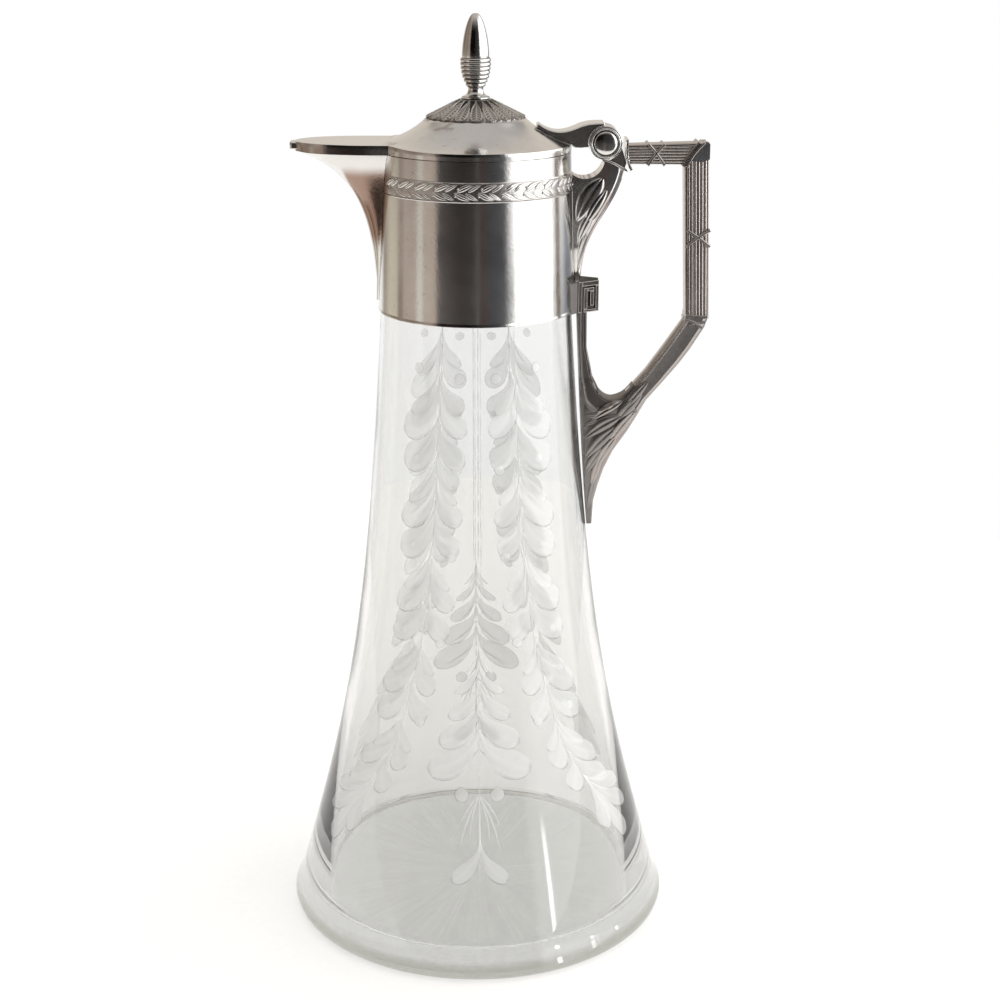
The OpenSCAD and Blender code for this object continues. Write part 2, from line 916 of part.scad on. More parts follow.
// Square channels cut into one flank of the block, as in a key pattern
module fret(side, from, to) {
    run = to - from;
    angle = atan2(run[1], run[0]);
    long = norm(run);
    groove = 0.85;
    deep = 0.8;
    mirror([0, side < 0 ? 0 : 1, 0])
        translate([from[0], -from[1], key_low])
            rotate([0, 0, -angle])
                for (bar = [
                    [1.6, 1.6, groove, 10],
                    [1.6, 10.6, 7, groove],
                    [long - 2.4, 3, groove, 8],
                    [3.6, 3, long - 6, groove],
                    [3.6, 3, groove, 6],
                    [3.6, 8.2, 2.6, groove]
                ])
                    translate([bar[0], -deep, bar[1]])
                        cube([bar[2], 2 * deep, bar[3]]);
}

// Ribbons

ribbon_t = 0.45;

module corner_ribbon() {
    step = (corner_out - corner_in) / norm(corner_out - corner_in);
    across = [-step[1], step[0]] * 1.7;
    color(old_silver)
        intersection() {
            union() {
                intersection() {
                    top_bar_place()
                        ribbon_section(ribbon_t);
                    side_view(30)
                        top_bar_zone();
                }
                intersection() {
                    grip_place()
                        ribbon_section(ribbon_t);
                    side_view(30)
                        grip_zone();
                }
            }
            side_view(30)
                polygon([
                    corner_in - 3 * step - across, corner_in - 3 * step + across,
                    corner_out + 3 * step + across, corner_out + 3 * step - across
                ]);
        }
}

module elbow_ribbon() {
    grip_band_w = 3.4;
    brace_band_w = 4.6;
    color(old_silver)
        union() {
            intersection() {
                grip_place()
                    ribbon_section(ribbon_t);
                side_view(30)
                    intersection() {
                        grip_zone();
                        translate([elbow_in[0] - 4, elbow_in[1] - 2])
                            square([20, grip_band_w]);
                    }
            }
            intersection() {
                brace_place()
                    difference() {
                        square([brace_w + 2 * ribbon_t, bar_d + 2 * ribbon_t - 0.4], center = true);
                        square([brace_w + 2 * touch, bar_d - 0.4 + 2 * touch], center = true);
                    }
                side_view(30)
                    intersection() {
                        brace_zone();
                        translate((elbow_in + elbow_out) / 2)
                            rotate(-brace_angle)
                                translate([-10, 0.4 - brace_band_w])
                                    square([20, brace_band_w]);
                    }
            }
        }
}

// Two crossed ribbons tie the top bar, and two more the grip
module ribbon_ties() {
    color(old_silver)
        union() {
            intersection() {
                top_bar_place()
                    ribbon_section(ribbon_t);
                side_view(30)
                    cross_at([72.3, bar_z]);
            }
            intersection() {
                grip_place()
                    ribbon_section(ribbon_t);
                side_view(30)
                    cross_at([90.7, 296.5]);
            }
        }
}

module cross_at(centre) {
    for (turn = [38, -38])
        translate(centre)
            rotate(turn)
                square([1.5, 16], center = true);
}

glass_body();
plaster_bed();
collar();
laurel_band();
spout();
lid_cover();
lid_bezel();
lid_rosette();
lid_arm();
finial();
finial_stud();
finial_washer();
finial_nut();
hinge_bracket();
hinge_pin();
hinge_rosettes();
bracket_strut();
bracket_bead();
handle_top_bar();
handle_grip();
handle_brace();
handle_stem();
lower_mount();
key_block();
corner_ribbon();
elbow_ribbon();
ribbon_ties();
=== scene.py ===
from math import asin, atan2, cos, degrees, hypot, pi, radians, sin, sqrt

import bpy
from mathutils import Matrix, Vector


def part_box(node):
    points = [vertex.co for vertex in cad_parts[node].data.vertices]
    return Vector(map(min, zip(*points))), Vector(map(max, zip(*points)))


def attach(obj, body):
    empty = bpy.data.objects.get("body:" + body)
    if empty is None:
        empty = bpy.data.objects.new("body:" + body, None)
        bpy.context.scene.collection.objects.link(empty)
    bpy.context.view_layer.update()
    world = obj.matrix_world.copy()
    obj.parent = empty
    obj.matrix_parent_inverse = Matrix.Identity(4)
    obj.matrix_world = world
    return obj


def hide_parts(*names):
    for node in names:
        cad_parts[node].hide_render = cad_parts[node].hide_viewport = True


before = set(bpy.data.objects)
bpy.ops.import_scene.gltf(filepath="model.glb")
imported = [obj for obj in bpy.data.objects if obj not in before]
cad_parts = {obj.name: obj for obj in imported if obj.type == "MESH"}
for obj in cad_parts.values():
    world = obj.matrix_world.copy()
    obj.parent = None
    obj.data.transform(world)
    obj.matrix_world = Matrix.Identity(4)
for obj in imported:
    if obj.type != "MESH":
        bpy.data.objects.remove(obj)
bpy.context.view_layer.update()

# Glass body
# The real body is one blown vessel of clear glass, ground flat under a thick foot and polished.
# It stands on the table and carries all the mounts on its neck.

MM = 0.001


def curve(a, b, c, d, steps):
    """Points along a cubic curve from a to d, pulled towards b and c."""
    points = []
    for i in range(steps + 1):
        t = i / steps
        s = 1 - t
        weights = (s ** 3, 3 * s * s * t, 3 * s * t * t, t ** 3)
        points.append(tuple(sum(w * p[k] for w, p in zip(weights, (a, b, c, d))) for k in range(len(a))))
    return points


def arc(centre, radius, start, end, steps):
    """Points on a circle from one angle to another, in degrees."""
    angles = [radians(start + (end - start) * i / steps) for i in range(steps + 1)]
    return [(centre[0] + radius * cos(a), centre[1] + radius * sin(a)) for a in angles]


def between(value, points):
    """The height of a chain of (place, height) points at a place, level beyond its ends."""
    if value <= points[0][0]:
        return points[0][1]
    for (x0, y0), (x1, y1) in zip(points, points[1:]):
        if value <= x1:
            return y0 + (y1 - y0) * (value - x0) / max(x1 - x0, 1e-9)
    return points[-1][1]


def ease(low, high, value):
    """0 below low, 1 above high and a smooth step between them."""
    t = min(1, max(0, (value - low) / (high - low)))
    return t * t * (3 - 2 * t)


def make_piece(name, points, faces, material, sharp=35, recess=None, wear_stain_and_highlight=None):
    """A mesh of millimetre points, smooth apart from edges sharper than an angle in degrees."""
    mesh = bpy.data.meshes.new(name)
    mesh.from_pydata([(x * MM, y * MM, z * MM) for x, y, z in points], [], faces)
    mesh.validate()
    mesh.update()
    mesh.shade_smooth()
    mesh.set_sharp_from_angle(angle=radians(sharp))
    # The first marks are painted shade; the second carry wear and stains on plate, and painted highlights on
    # cut glass.
    for title, values in (("recess", recess), ("wear_stain_and_highlight", wear_stain_and_highlight)):
        if values:
            layer = mesh.attributes.new(title, "FLOAT", "POINT")
            layer.data.foreach_set("value", values)
    mesh.materials.append(material)
    piece = bpy.data.objects.new(name, mesh)
    bpy.context.scene.collection.objects.link(piece)
    return piece


def turned(name, outline, material, steps=192, sharp=35, recess=None, closed=True):
    """Turns an outline of (radius, height) points about the vertical axis."""
    points = []
    for radius, height in outline:
        for k in range(steps):
            a = 2 * pi * k / steps
            points.append((radius * cos(a), radius * sin(a), height))
    faces = []
    rows = len(outline)
    for i in range(rows if closed else rows - 1):
        j = (i + 1) % rows
        for k in range(steps):
            m = (k + 1) % steps
            faces.append((i * steps + k, i * steps + m, j * steps + m, j * steps + k))
    darkness = [recess[i // steps] for i in range(len(points))] if recess else None
    return make_piece(name, points, faces, material, sharp, darkness)


def fix(piece, body, slot, *nodes):
    """Lets a piece move with a body and stand for solids of the frame, which it hides; its slot is not used.
    """
    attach(piece, body)
    if nodes:
        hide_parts(*nodes)


def feed(tree, socket, value):
    """Sets an input to a number or a colour, or links it to another node's output."""
    if isinstance(value, bpy.types.NodeSocket):
        tree.links.new(value, socket)
    else:
        socket.default_value = value + (1,) if isinstance(value, tuple) else value


def wire(tree, node, **inputs):
    """Feeds a node's inputs by name."""
    for name, value in inputs.items():
        feed(tree, node.inputs[name.replace("_", " ")], value)
    return node


def add(tree, kind, **inputs):
    """A new shader node with its inputs fed."""
    return wire(tree, tree.nodes.new("ShaderNode" + kind), **inputs)


def noise(tree, place, scale, **more):
    """A cloudy pattern's value at a place."""
    return add(tree, "TexNoise", Vector=place, Scale=scale, **more).outputs["Fac"]


def spread(tree, value, low, high, **more):
    """Spreads a value over the range from low to high."""
    return add(tree, "MapRange", Value=value, To_Min=low, To_Max=high, **more).outputs["Result"]


def bumps(tree, height, strength, distance):
    """The direction of a surface made uneven by a height."""
    return add(tree, "Bump", Height=height, Strength=strength, Distance=distance).outputs["Normal"]


def ramp(tree, amount, stops):
    """The colour at an amount, through (amount, colour) stops."""
    node = add(tree, "ValToRGB", Fac=amount)
    elements = node.color_ramp.elements
    for i in (0, -1):
        elements[i].position = stops[i][0]
        elements[i].color = stops[i][1] + (1,)
    for place, colour in stops[1:-1]:
        elements.new(place).color = colour + (1,)
    return node.outputs["Color"]


def shader(name):
    """A new material: itself, its nodes' tree, its surface node and its object coordinates."""
    material = bpy.data.materials.new(name)
    material.use_nodes = True
    tree = material.node_tree
    return material, tree, tree.nodes["Principled BSDF"], add(tree, "TexCoord").outputs["Object"]


# Tints by height, darkest at the thick foot: partly the glass's own tint, partly painted shade standing in
# for the shade on the table under the foot.
glass_tints_and_painted_shade = (
    (0, (0.62, 0.62, 0.60)),
    (0.003, (0.42, 0.42, 0.375)),
    (0.022, (0.45, 0.45, 0.405)),
    (0.027, (0.84, 0.84, 0.835)),
    (0.035, (0.80, 0.80, 0.795)),
    (0.2, (0.80, 0.802, 0.79)),
    (0.5, (0.86, 0.863, 0.853)),
    (1, (0.92, 0.92, 0.915)),
)
tinted_height = 0.3


def clear_glass():
    """Clear glass with softly uneven walls, darker where the foot makes it thick, with painted shade there
    for the shade under the foot.
    """
    material, tree, surface, place = shader("clear_glass")
    height = add(tree, "SeparateXYZ", Vector=place).outputs["Z"]
    share = add(tree, "MapRange", Value=height, From_Max=tinted_height).outputs["Result"]
    wire(
        tree,
        surface,
        Transmission_Weight=1,
        IOR=1.5,
        Base_Color=ramp(tree, share, glass_tints_and_painted_shade),
        Roughness=spread(tree, noise(tree, place, 140), 0, 0.02),
        Normal=bumps(tree, noise(tree, place, 26, Detail=1), 0.06, 0.002),
    )
    return material


def fine_plaster():
    """Dry white plaster with a fine grain."""
    material, tree, surface, place = shader("fine_plaster")
    grain = noise(tree, place, 700, Detail=5)
    tone = ramp(tree, grain, ((0, (0.66, 0.62, 0.55)), (1, (0.82, 0.79, 0.72))))
    wire(tree, surface, Base_Color=tone, Roughness=0.85, Normal=bumps(tree, grain, 0.4, 0.0003))
    return material


def finish_solid(node, material):
    """Gives a solid of the frame that already has the right shape its finish."""
    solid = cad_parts[node]
    solid.data.materials.clear()
    solid.data.materials.append(material)


foot_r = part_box("glass_body")[1].x / MM
collar_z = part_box("collar")[0].z / MM
collar_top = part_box("collar")[1].z / MM
mouth_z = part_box("glass_body")[1].z / MM
neck_r = 39.2
bore_r = 34.6
floor_t = 8.5
glass_side = curve((foot_r - 2.5, 9), (57.7, 85.5), (46.8, 132.2), (neck_r, collar_z + 2.6), 90)
glass_bore = curve((69.6, floor_t + 2.5), (52.6, 115), (47.1, 94), (neck_r - 2.2, collar_z + 2.6), 90)
glass_heights = [(z, r) for r, z in glass_side]


def glass_r(z):
    """Radius of the glass body's outside at a height."""
    return between(z, glass_heights)


foot_round = arc((foot_r - 4, 4), 4, -90, 10, 14)
floor_round = arc((67.1, floor_t + 2.5), 2.5, -15, -90, 8)
mouth = arc(((bore_r + 37.3) / 2, mouth_z - 1.35), 1.35, 0, 180, 12)
body_outline = [(0.01, 0), (30, 0), (60, 0)] + foot_round + glass_side + [(37.7, collar_z + 8)] + mouth
body_outline += [(bore_r, collar_z + 12)] + glass_bore[::-1] + floor_round
body_outline += [(50, floor_t), (25, floor_t), (0.01, floor_t)]
body = turned("glass_vessel", body_outline, clear_glass(), steps=256, closed=False)
fix(body, "jug", "glass", "glass_body")
# The vessel casts no shadow; the shade under its foot is painted into its tints instead.
body.visible_shadow = False
finish_solid("plaster_bed", fine_plaster())

# Engraving
# The real garlands are cut into the glass with a wheel and left matt, as two like groups, front and back.
# Each group is a middle drop, with leaves, berries and a fan of strokes, between two side garlands.


def grid_faces(rows, columns, start=0, flip=False):
    """Faces between neighbouring rows of points, seen from the side where rows rise to the left."""
    faces = []
    for i in range(rows - 1):
        for k in range(columns - 1):
            a = start + i * columns + k
            face = (a, a + 1, a + columns + 1, a + columns)
            faces.append(face[::-1] if flip else face)
    return faces


def merge(parts):
    """Joins reliefs, each with its points, faces, painted shade and wear (a painted highlight on glass), into
    one.
    """
    points, faces, recess, wear_stain_and_highlight = [], [], [], []
    for part_points, part_faces, part_recess, part_worn in parts:
        start = len(points)
        points += part_points
        faces += [tuple(start + i for i in face) for face in part_faces]
        recess += part_recess
        wear_stain_and_highlight += part_worn
    return points, faces, recess, wear_stain_and_highlight


def leaf(place, base, tip, half_w, rise, bend=0.0, flip=False, rub=0.4, rows=14, columns=11):
    """A raised leaf with a midrib, laid from base to tip on a surface by place(u, v, height), with painted
    shade along its edges and midrib.
    """
    run = (tip[0] - base[0], tip[1] - base[1])
    long = hypot(*run)
    across = (-run[1] / long, run[0] / long)
    points, recess, wear_stain_and_highlight = [], [], []
    for i in range(rows + 1):
        t = i / rows
        half = half_w * max(0.0, sin(pi * min(1, 0.02 + 0.98 * t) ** 0.85)) ** 0.72
        sway = bend * sin(pi * t)
        for k in range(columns):
            side = 2 * k / (columns - 1) - 1
            off = half * side + sway
            u = base[0] + run[0] * t + across[0] * off
            v = base[1] + run[1] * t + across[1] * off
            body = (1 - side ** 4) * (0.35 + 0.65 * sin(pi * min(1, 0.12 + t * 0.9)))
            rib = max(0, 1 - abs(side) / 0.22)
            points.append(place(u, v, rise * (body - 0.28 * rib) - 0.06))
            recess.append(min(1, max(0, abs(side) - 0.72) * 3.4 + 0.35 * rib))
            wear_stain_and_highlight.append(rub * max(0, body - 0.4) * (1 - rib))
    return points, grid_faces(rows + 1, columns, 0, flip), recess, wear_stain_and_highlight


def berry(place, centre, radius, rise, flip=False, rub=0.5, rings=5, spokes=14):
    """A small raised dome, with painted shade round its foot and wear rising to its top, a painted highlight
    on glass.
    """
    points, recess, wear_stain_and_highlight = [], [], []
    for i in range(rings + 1):
        a = pi / 2 * i / rings
        for k in range(spokes + 1):
            b = 2 * pi * k / spokes
            r = radius * cos(a)
            points.append(place(centre[0] + r * cos(b), centre[1] + r * sin(b), rise * sin(a)))
            recess.append(max(0, 1 - i / 2))
            wear_stain_and_highlight.append(rub * i / rings)
    return points, grid_faces(rings + 1, spokes + 1, 0, flip), recess, wear_stain_and_highlight


def blend(tree, amount, first, second):
    """A mix of two colours by an amount from 0 to 1."""
    node = tree.nodes.new("ShaderNodeMix")
    node.data_type = "RGBA"
    return wire(tree, node, Factor=amount, A=first, B=second).outputs["Result"]


def marks(tree, title):
    """What the points of a piece say about their darkness or wear."""
    node = tree.nodes.new("ShaderNodeAttribute")
    node.attribute_name = title
    return node.outputs["Fac"]


def cut_glass():
    """Matt wheel-cut glass, with painted shade as dark lines where the cut has a steep side, and painted
    highlights in white.
    """
    material, tree, surface, place = shader("cut_glass")
    grind = noise(tree, place, 600, Detail=3)
    tone = ramp(tree, grind, ((0, (0.86, 0.87, 0.86)), (1, (0.98, 0.98, 0.97))))
    # Painted highlight in white and painted shade in near black, by each cut's marks.
    light = blend(tree, marks(tree, "wear_stain_and_highlight"), tone, (1, 1, 1))
    lined = blend(tree, marks(tree, "recess"), light, (0.16, 0.15, 0.13))
    wire(tree, surface, Base_Color=lined, Roughness=spread(tree, grind, 0.3, 0.5), Alpha=0.34)
    return material


def on_glass(turn):
    """Lays a length, a height and a thickness on the glass, from a line turned from the front."""

    def place(along, z, height):
        r = glass_r(z) + height
        a = radians(turn - 90) + along / r
        return (r * cos(a), r * sin(a), z)

    return place


def lobe(place, root, tip, half_w, rows=18, columns=9, broadest=0.72):
    """A cut lobe that drops from its stem, sweeps out and ends broad, with painted shade along its lower side
    and at its tip and a painted highlight down its middle.
    """
    reach, drop = tip[0] - root[0], root[1] - tip[1]
    pull_down = (root[0] + 0.06 * reach, root[1] - 0.5 * drop)
    pull_out = (root[0] + 0.5 * reach, tip[1] + 0.1 * drop)
    line = curve(root, pull_down, pull_out, tip, rows)
    points, recess, wear_stain_and_highlight = [], [], []
    for i, (u, v) in enumerate(line):
        t = i / rows
        before, after = line[max(i - 1, 0)], line[min(i + 1, rows)]
        run = (after[0] - before[0], after[1] - before[1])
        across = (-run[1] / hypot(*run), run[0] / hypot(*run))
        half = half_w * (0.12 + 0.88 * ease(0.1, broadest, t))
        if t > broadest:
            half *= sqrt(max(0, 1 - ((t - broadest) / (1.005 - broadest)) ** 2))
        for k in range(columns):
            side = 2 * k / (columns - 1) - 1
            low = side * (-1 if reach > 0 else 1)
            rise = 0.08 + 0.25 * (1 - side * side)
            points.append(place(u + across[0] * half * side, v + across[1] * half * side, rise))
            # Painted shade along the lower side and at the tip; painted highlight down the middle.
            recess.append(max(ease(0.75, 1, low) * ease(0.5, 0.8, t), 0.6 * ease(0.93, 1, t)))
            wear_stain_and_highlight.append(0.8 * (1 - ease(0.05, 0.3, abs(side))))
    return points, grid_faces(rows + 1, columns, 0, True), recess, wear_stain_and_highlight


def stroke(place, root, tip, half_w, bend=0.0, dark=0.0):
    """A thin curved cut, with painted shade as deep as dark and a painted highlight over the rest."""
    points, faces, recess, wear_stain_and_highlight = leaf(place, root, tip, half_w, 0.16, bend, True, 0, 22, 5)
    return points, faces, [dark] * len(points), [1 - dark] * len(points)


stem_turns = ((44, 60), (60, 54), (76, 45), (92, 36.5), (128, 29), (150, 25.2), (196, 22.6), (268, 21.4))
engraving_top = collar_z - 1.4
leaf_tops = (249, 212, 176, 140, 106)
leaf_lobes = ((5, 13, 3.4), (13, 16.5, 6.2), (26, 16, 6.4))
last_lobes = ((19, 66, 4.8), (17, 55, 4.8), (6, 42, 5.0), (-7, 50, 4.6))
spray_lobes = ((126, 6, 0.6), (118, 10, 1.8), (108, 13, 3.4), (97, 17, 5.0), (85, 22, 6.0))
fan_z = 76


def side_garland(middle, out):
    """A garland beside the middle drop, out to its left (-1) or right (1), that curves away as it falls."""

    def place(along, z, height):
        return on_glass(middle + out * between(z, stem_turns))(out * along, z, height)

    parts = []
    stem_steps = 24
    stem_foot = 66
    for i in range(stem_steps):
        high = engraving_top - i * (engraving_top - stem_foot) / stem_steps
        parts.append(stroke(place, (0, high), (0, high - 11), 0.34, 0, 0.25))
    for i, top in enumerate(leaf_tops):
        size = 1 - 0.03 * i
        for fall, reach, half_w in leaf_lobes:
            tip_z = top - fall * size - 12
            parts.append(lobe(place, (0, tip_z + 20 * size), (reach * size, tip_z), half_w * size))
            parts.append(stroke(place, (reach * 0.2, tip_z + 12), (reach * 0.8, tip_z + 1.5), 0.3, -1, 0.7))
            inner_tip = (-0.72 * reach * size, tip_z + 1)
            parts.append(lobe(place, (0, tip_z + 19 * size), inner_tip, 0.74 * half_w * size))
        # On the glass these berries' rub paints a highlight on their tops.
        parts.append(berry(place, (9.4, top + 1), 2.2, 0.5, False, 0.9))
        parts.append(berry(place, (-8.2, top - 2), 2.2, 0.5, False, 0.9))
    for reach, tip_z, half_w in last_lobes:
        parts.append(lobe(place, (0, fan_z), (reach, tip_z), half_w))
    return merge(parts)


def middle_drop(turn):
    """The middle drop: two lines, a spray of leaves, two berries and a fan of strokes."""
    place = on_glass(turn)
    parts = []
    for along in (-1.1, 1.1):
        for i in range(12):
            high = engraving_top - i * 10.6
            parts.append(stroke(place, (along, high), (along, high - 13), 0.3, 0, 0.3))
    for i in range(12):
        high = 138 - i * 7.6
        parts.append(stroke(place, (0, high), (0, high - 9), 0.35, 0, 0.2))
    for tip_z, reach, half_w in spray_lobes:
        for out in (-1, 1):
            parts.append(lobe(place, (0, tip_z + 12 + half_w), (out * reach, tip_z), half_w))
            tip = (out * reach * 0.72, tip_z - 1.5)
            parts.append(stroke(place, (0, tip_z + 10), tip, 0.4, -1.2 * out, 0.6))
    for out in (-1, 1):
        # On the glass these berries' rub paints a highlight on their tops.
        parts.append(berry(place, (out * 7.4, fan_z), 3.1, 0.7, False, 0.9))
        parts.append(lobe(place, (0, 58), (out * 12, 41), 3.4))
        for along, z in ((8.4, 63), (8.8, 52), (4.2, 56)):
            parts.append(stroke(place, (0, fan_z), (out * along, z), 0.42, out))
    parts.append(stroke(place, (0, fan_z), (0, 40), 0.4))
    return merge(parts)


engraved = cut_glass()
for title, middle in (("front", 0), ("back", 180)):
    groups = [middle_drop(middle), side_garland(middle, -1), side_garland(middle, 1)]
    points, faces, recess, wear_stain_and_highlight = merge(groups)
    garland = make_piece(title + "_engraving", points, faces, engraved, 60, recess, wear_stain_and_highlight)
    garland.visible_shadow = False
    fix(garland, "jug", "glass", "glass_body")

# Collar
# The real collar is a tube of silver-plated sheet, rolled to a slight taper and polished.
# It's set on the glass neck in plaster and cut open behind the spout.


def maths(tree, operation, *values, clamp=False):
    """Works out a number from plain numbers and other nodes' outputs."""
    node = tree.nodes.new("ShaderNodeMath")
    node.operation = operation
    node.use_clamp = clamp
    for socket, value in zip(node.inputs, values):
        feed(tree, socket, value)
    return node.outputs["Value"]


# Painted shade: the near-black laid into parts marked recess, standing in for shade in hollows.
painted_shade_colour = (0.05, 0.042, 0.036)
freckle_colour = (0.2, 0.16, 0.12)


def plate(name, bright, dull, rough_low, rough_high, rub=(0.50, 0.41, 0.37)):
    """Silver plate: cloudy tone and fine wipe marks, painted shade where marked recess, rubbed where worn."""
    material, tree, surface, place = shader(name)
    cloud = noise(tree, place, 55, Detail=6, Roughness=0.62)
    tone = ramp(tree, cloud, ((0.3, dull), (0.62, bright)))
    freckle = ramp(tree, noise(tree, place, 420, Detail=3), ((0.68, (0, 0, 0)), (0.78, (0.4, 0.4, 0.4))))
    rubbed = blend(tree, marks(tree, "wear_stain_and_highlight"), blend(tree, freckle, tone, freckle_colour), rub)
    # Painted shade where marked recess, broken up by the cloud; it also roughens the surface.
    broken = maths(tree, "MULTIPLY_ADD", cloud, 0.5, 0.72)
    painted_shade = maths(tree, "MULTIPLY", marks(tree, "recess"), broken, clamp=True)
    rough = spread(tree, cloud, rough_low, rough_high, From_Min=0.3, From_Max=0.7)
    wire(
        tree,
        surface,
        Metallic=1,
        Base_Color=blend(tree, painted_shade, rubbed, painted_shade_colour),
        Roughness=maths(tree, "MULTIPLY_ADD", painted_shade, 0.35, rough),
        Normal=bumps(tree, noise(tree, place, 900, Detail=4), 0.05, 0.0005),
    )
    return material


bright_plate, dull_plate = (0.80, 0.785, 0.765), (0.70, 0.68, 0.655)
polished_plate = plate("polished_plate", bright_plate, dull_plate, 0.1, 0.2)
collar_low_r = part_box("collar")[1].x / MM
collar_top_r = 38.4
collar_t = 0.7
spout_arch_z = mouth_z + 4
spout_arch_half_w = 10


def collar_r(z):
    """Radius of the collar's outside at a height."""
    return collar_low_r + (collar_top_r - collar_low_r) * (z - collar_z) / (collar_top - collar_z)


def double_skin(name, outer, inner, present, material, sharp=35, wrap=True, stain=None):
    """Sheet metal from two grids of points, walled along the rim of every missing cell."""
    rows, columns = len(outer), len(outer[0])
    points = [p for row in outer for p in row] + [p for row in inner for p in row]
    back = rows * columns
    last = columns if wrap else columns - 1
    cells = {(i, k) for i in range(rows - 1) for k in range(last) if present(i, k)}
    faces = []
    for i, k in sorted(cells):
        m = (k + 1) % columns
        a, b, c, d = i * columns + k, i * columns + m, (i + 1) * columns + m, (i + 1) * columns + k
        faces.append((a, b, c, d))
        faces.append((back + d, back + c, back + b, back + a))
        left = (i, (k - 1) % columns if wrap else k - 1)
        right = (i, m if wrap else k + 1)
        if (i - 1, k) not in cells:
            faces.append((b, a, back + a, back + b))
        if (i + 1, k) not in cells:
            faces.append((d, c, back + c, back + d))
        if left not in cells:
            faces.append((a, d, back + d, back + a))
        if right not in cells:
            faces.append((c, b, back + b, back + c))
    wear_stain_and_highlight = [stain(*p) for p in points] if stain else None
    return make_piece(name, points, faces, material, sharp, None, wear_stain_and_highlight)


collar_columns = 240
collar_heights = [collar_z + 0.15, collar_z + 0.6, collar_z + 1.1] + [
    collar_z + 1.5 + (collar_top - collar_z - 1.5) * i / 48 for i in range(49)
]


def collar_bead(z):
    """The rolled edge at the collar's foot stands a little proud."""
    return 0.22 * max(0, 1 - ((z - collar_z - 0.5) / 0.6) ** 2)


def in_spout_arch(i, k):
    """Tells whether a cell of the collar lies in the opening behind the spout."""
    z = collar_heights[i + 1]
    a = 2 * pi * (k + 0.5) / collar_columns
    y = collar_r(z) * sin(a)
    faces_spout = cos(a) < 0
    rise = z - spout_arch_z
    half_w = spout_arch_half_w
    if rise < half_w:
        half_w = sqrt(max(0, half_w ** 2 - (half_w - rise) ** 2))
    return faces_spout and rise > 0 and abs(y) < half_w


def collar_ring(z, inset):
    """One level of the collar, set in from its outside."""
    r = collar_r(z) - inset
    turns = [2 * pi * k / collar_columns for k in range(collar_columns)]
    return [(r * cos(a), r * sin(a), z) for a in turns]


collar = double_skin(
    "plated_collar",
    [collar_ring(z, -collar_bead(z)) for z in collar_heights],
    [collar_ring(z, collar_t) for z in collar_heights],
    lambda i, k: not in_spout_arch(i, k),
    polished_plate,
)
fix(collar, "jug", "silver_plate", "collar")

# Laurel band
# The real band is a stamped strip of paired leaves and berries, soldered round the collar.
# Its ground is left dull and carries painted shade, and the raised leaves are polished by wear.

laurel_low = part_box("laurel_band")[0].z / MM
laurel_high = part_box("laurel_band")[1].z / MM
laurel_middle = (laurel_low + laurel_high) / 2
laurel_ground = 0.2
laurel_relief = 0.55
laurel_groups = 12
laurel_pair = ((0, 0.15, 6.4, 1.25, 1, 0.3), (4.2, 0.2, 5.0, 1.0, 0.9, 0.25))
band_r = (collar_low_r + collar_top_r) / 2 - 0.6
band_gap_spout = 15.5
band_gap_strut = 7


def on_collar(side):
    """Lays a length along the collar, from the spout, and a height on its near or far half."""

    def place(along, z, height):
        a = pi - along / band_r
        r = collar_r(z) + laurel_ground + height
        return (r * cos(a), side * r * sin(a), z)

    return place


def laurel_strip(side):
    """The ground of the band with its two raised borders, on one half of the collar."""
    place = on_collar(side)
    start, stop = band_gap_spout, pi * band_r - band_gap_strut
    border = 0.5
    rim = ((0, -0.2), (0, 0.3), (border / 2, 0.42), (border, 0.0))
    levels = [(laurel_low + up, height) for up, height in rim]
    levels += [(laurel_middle - 1.6, 0.0), (laurel_middle, 0.08), (laurel_middle + 1.6, 0.0)]
    levels += [(laurel_high - down, height) for down, height in rim[::-1]]
    columns = 120
    points, recess, wear_stain_and_highlight = [], [], []
    for z, height in levels:
        for k in range(columns + 1):
            points.append(place(start + (stop - start) * k / columns, z, height))
            # Painted shade on the ground; the borders are barely shaded.
            recess.append(0.3 if height == 0 or height == 0.08 else 0.05)
            wear_stain_and_highlight.append(0.3 if height == 0.42 else 0)
    return points, grid_faces(len(levels), columns + 1, 0, side > 0), recess, wear_stain_and_highlight


def laurel_group(side, start):
    """Two leaves above and two below the stem, each pair with a berry."""
    place = on_collar(side)
    turned_over = side > 0
    parts = []
    for up in (1, -1):
        root = start if up > 0 else start - 1.1
        flip = turned_over != (up > 0)
        for along, off, long, half_w, rise, bend in laurel_pair:
            base = (root + along, laurel_middle + off * up)
            tip = (root + along + long, laurel_middle + 3.0 * up)
            parts.append(leaf(place, base, tip, half_w * up, laurel_relief * rise, bend * up, flip))
        parts.append(berry(place, (root + 9.5, laurel_middle + 1.45 * up), 0.5, 0.55, turned_over))
    return merge(parts)


laurel_reach = pi * band_r - band_gap_strut - band_gap_spout
laurel_pitch = laurel_reach / (laurel_groups - 1.1)
laurel_parts = []
for side in (1, -1):
    laurel_parts.append(laurel_strip(side))
    for i in range(laurel_groups - 1):
        laurel_parts.append(laurel_group(side, band_gap_spout + 1.2 + i * laurel_pitch))
points, faces, recess, wear_stain_and_highlight = merge(laurel_parts)
laurel = make_piece("laurel_strip", points, faces, polished_plate, 50, recess, wear_stain_and_highlight)
fix(laurel, "jug", "silver_plate", "laurel_band")

# Spout
# The real spout is a folded beak of plated sheet, open at the back, with a sharp keel.
# It's soldered over the opening in the collar.

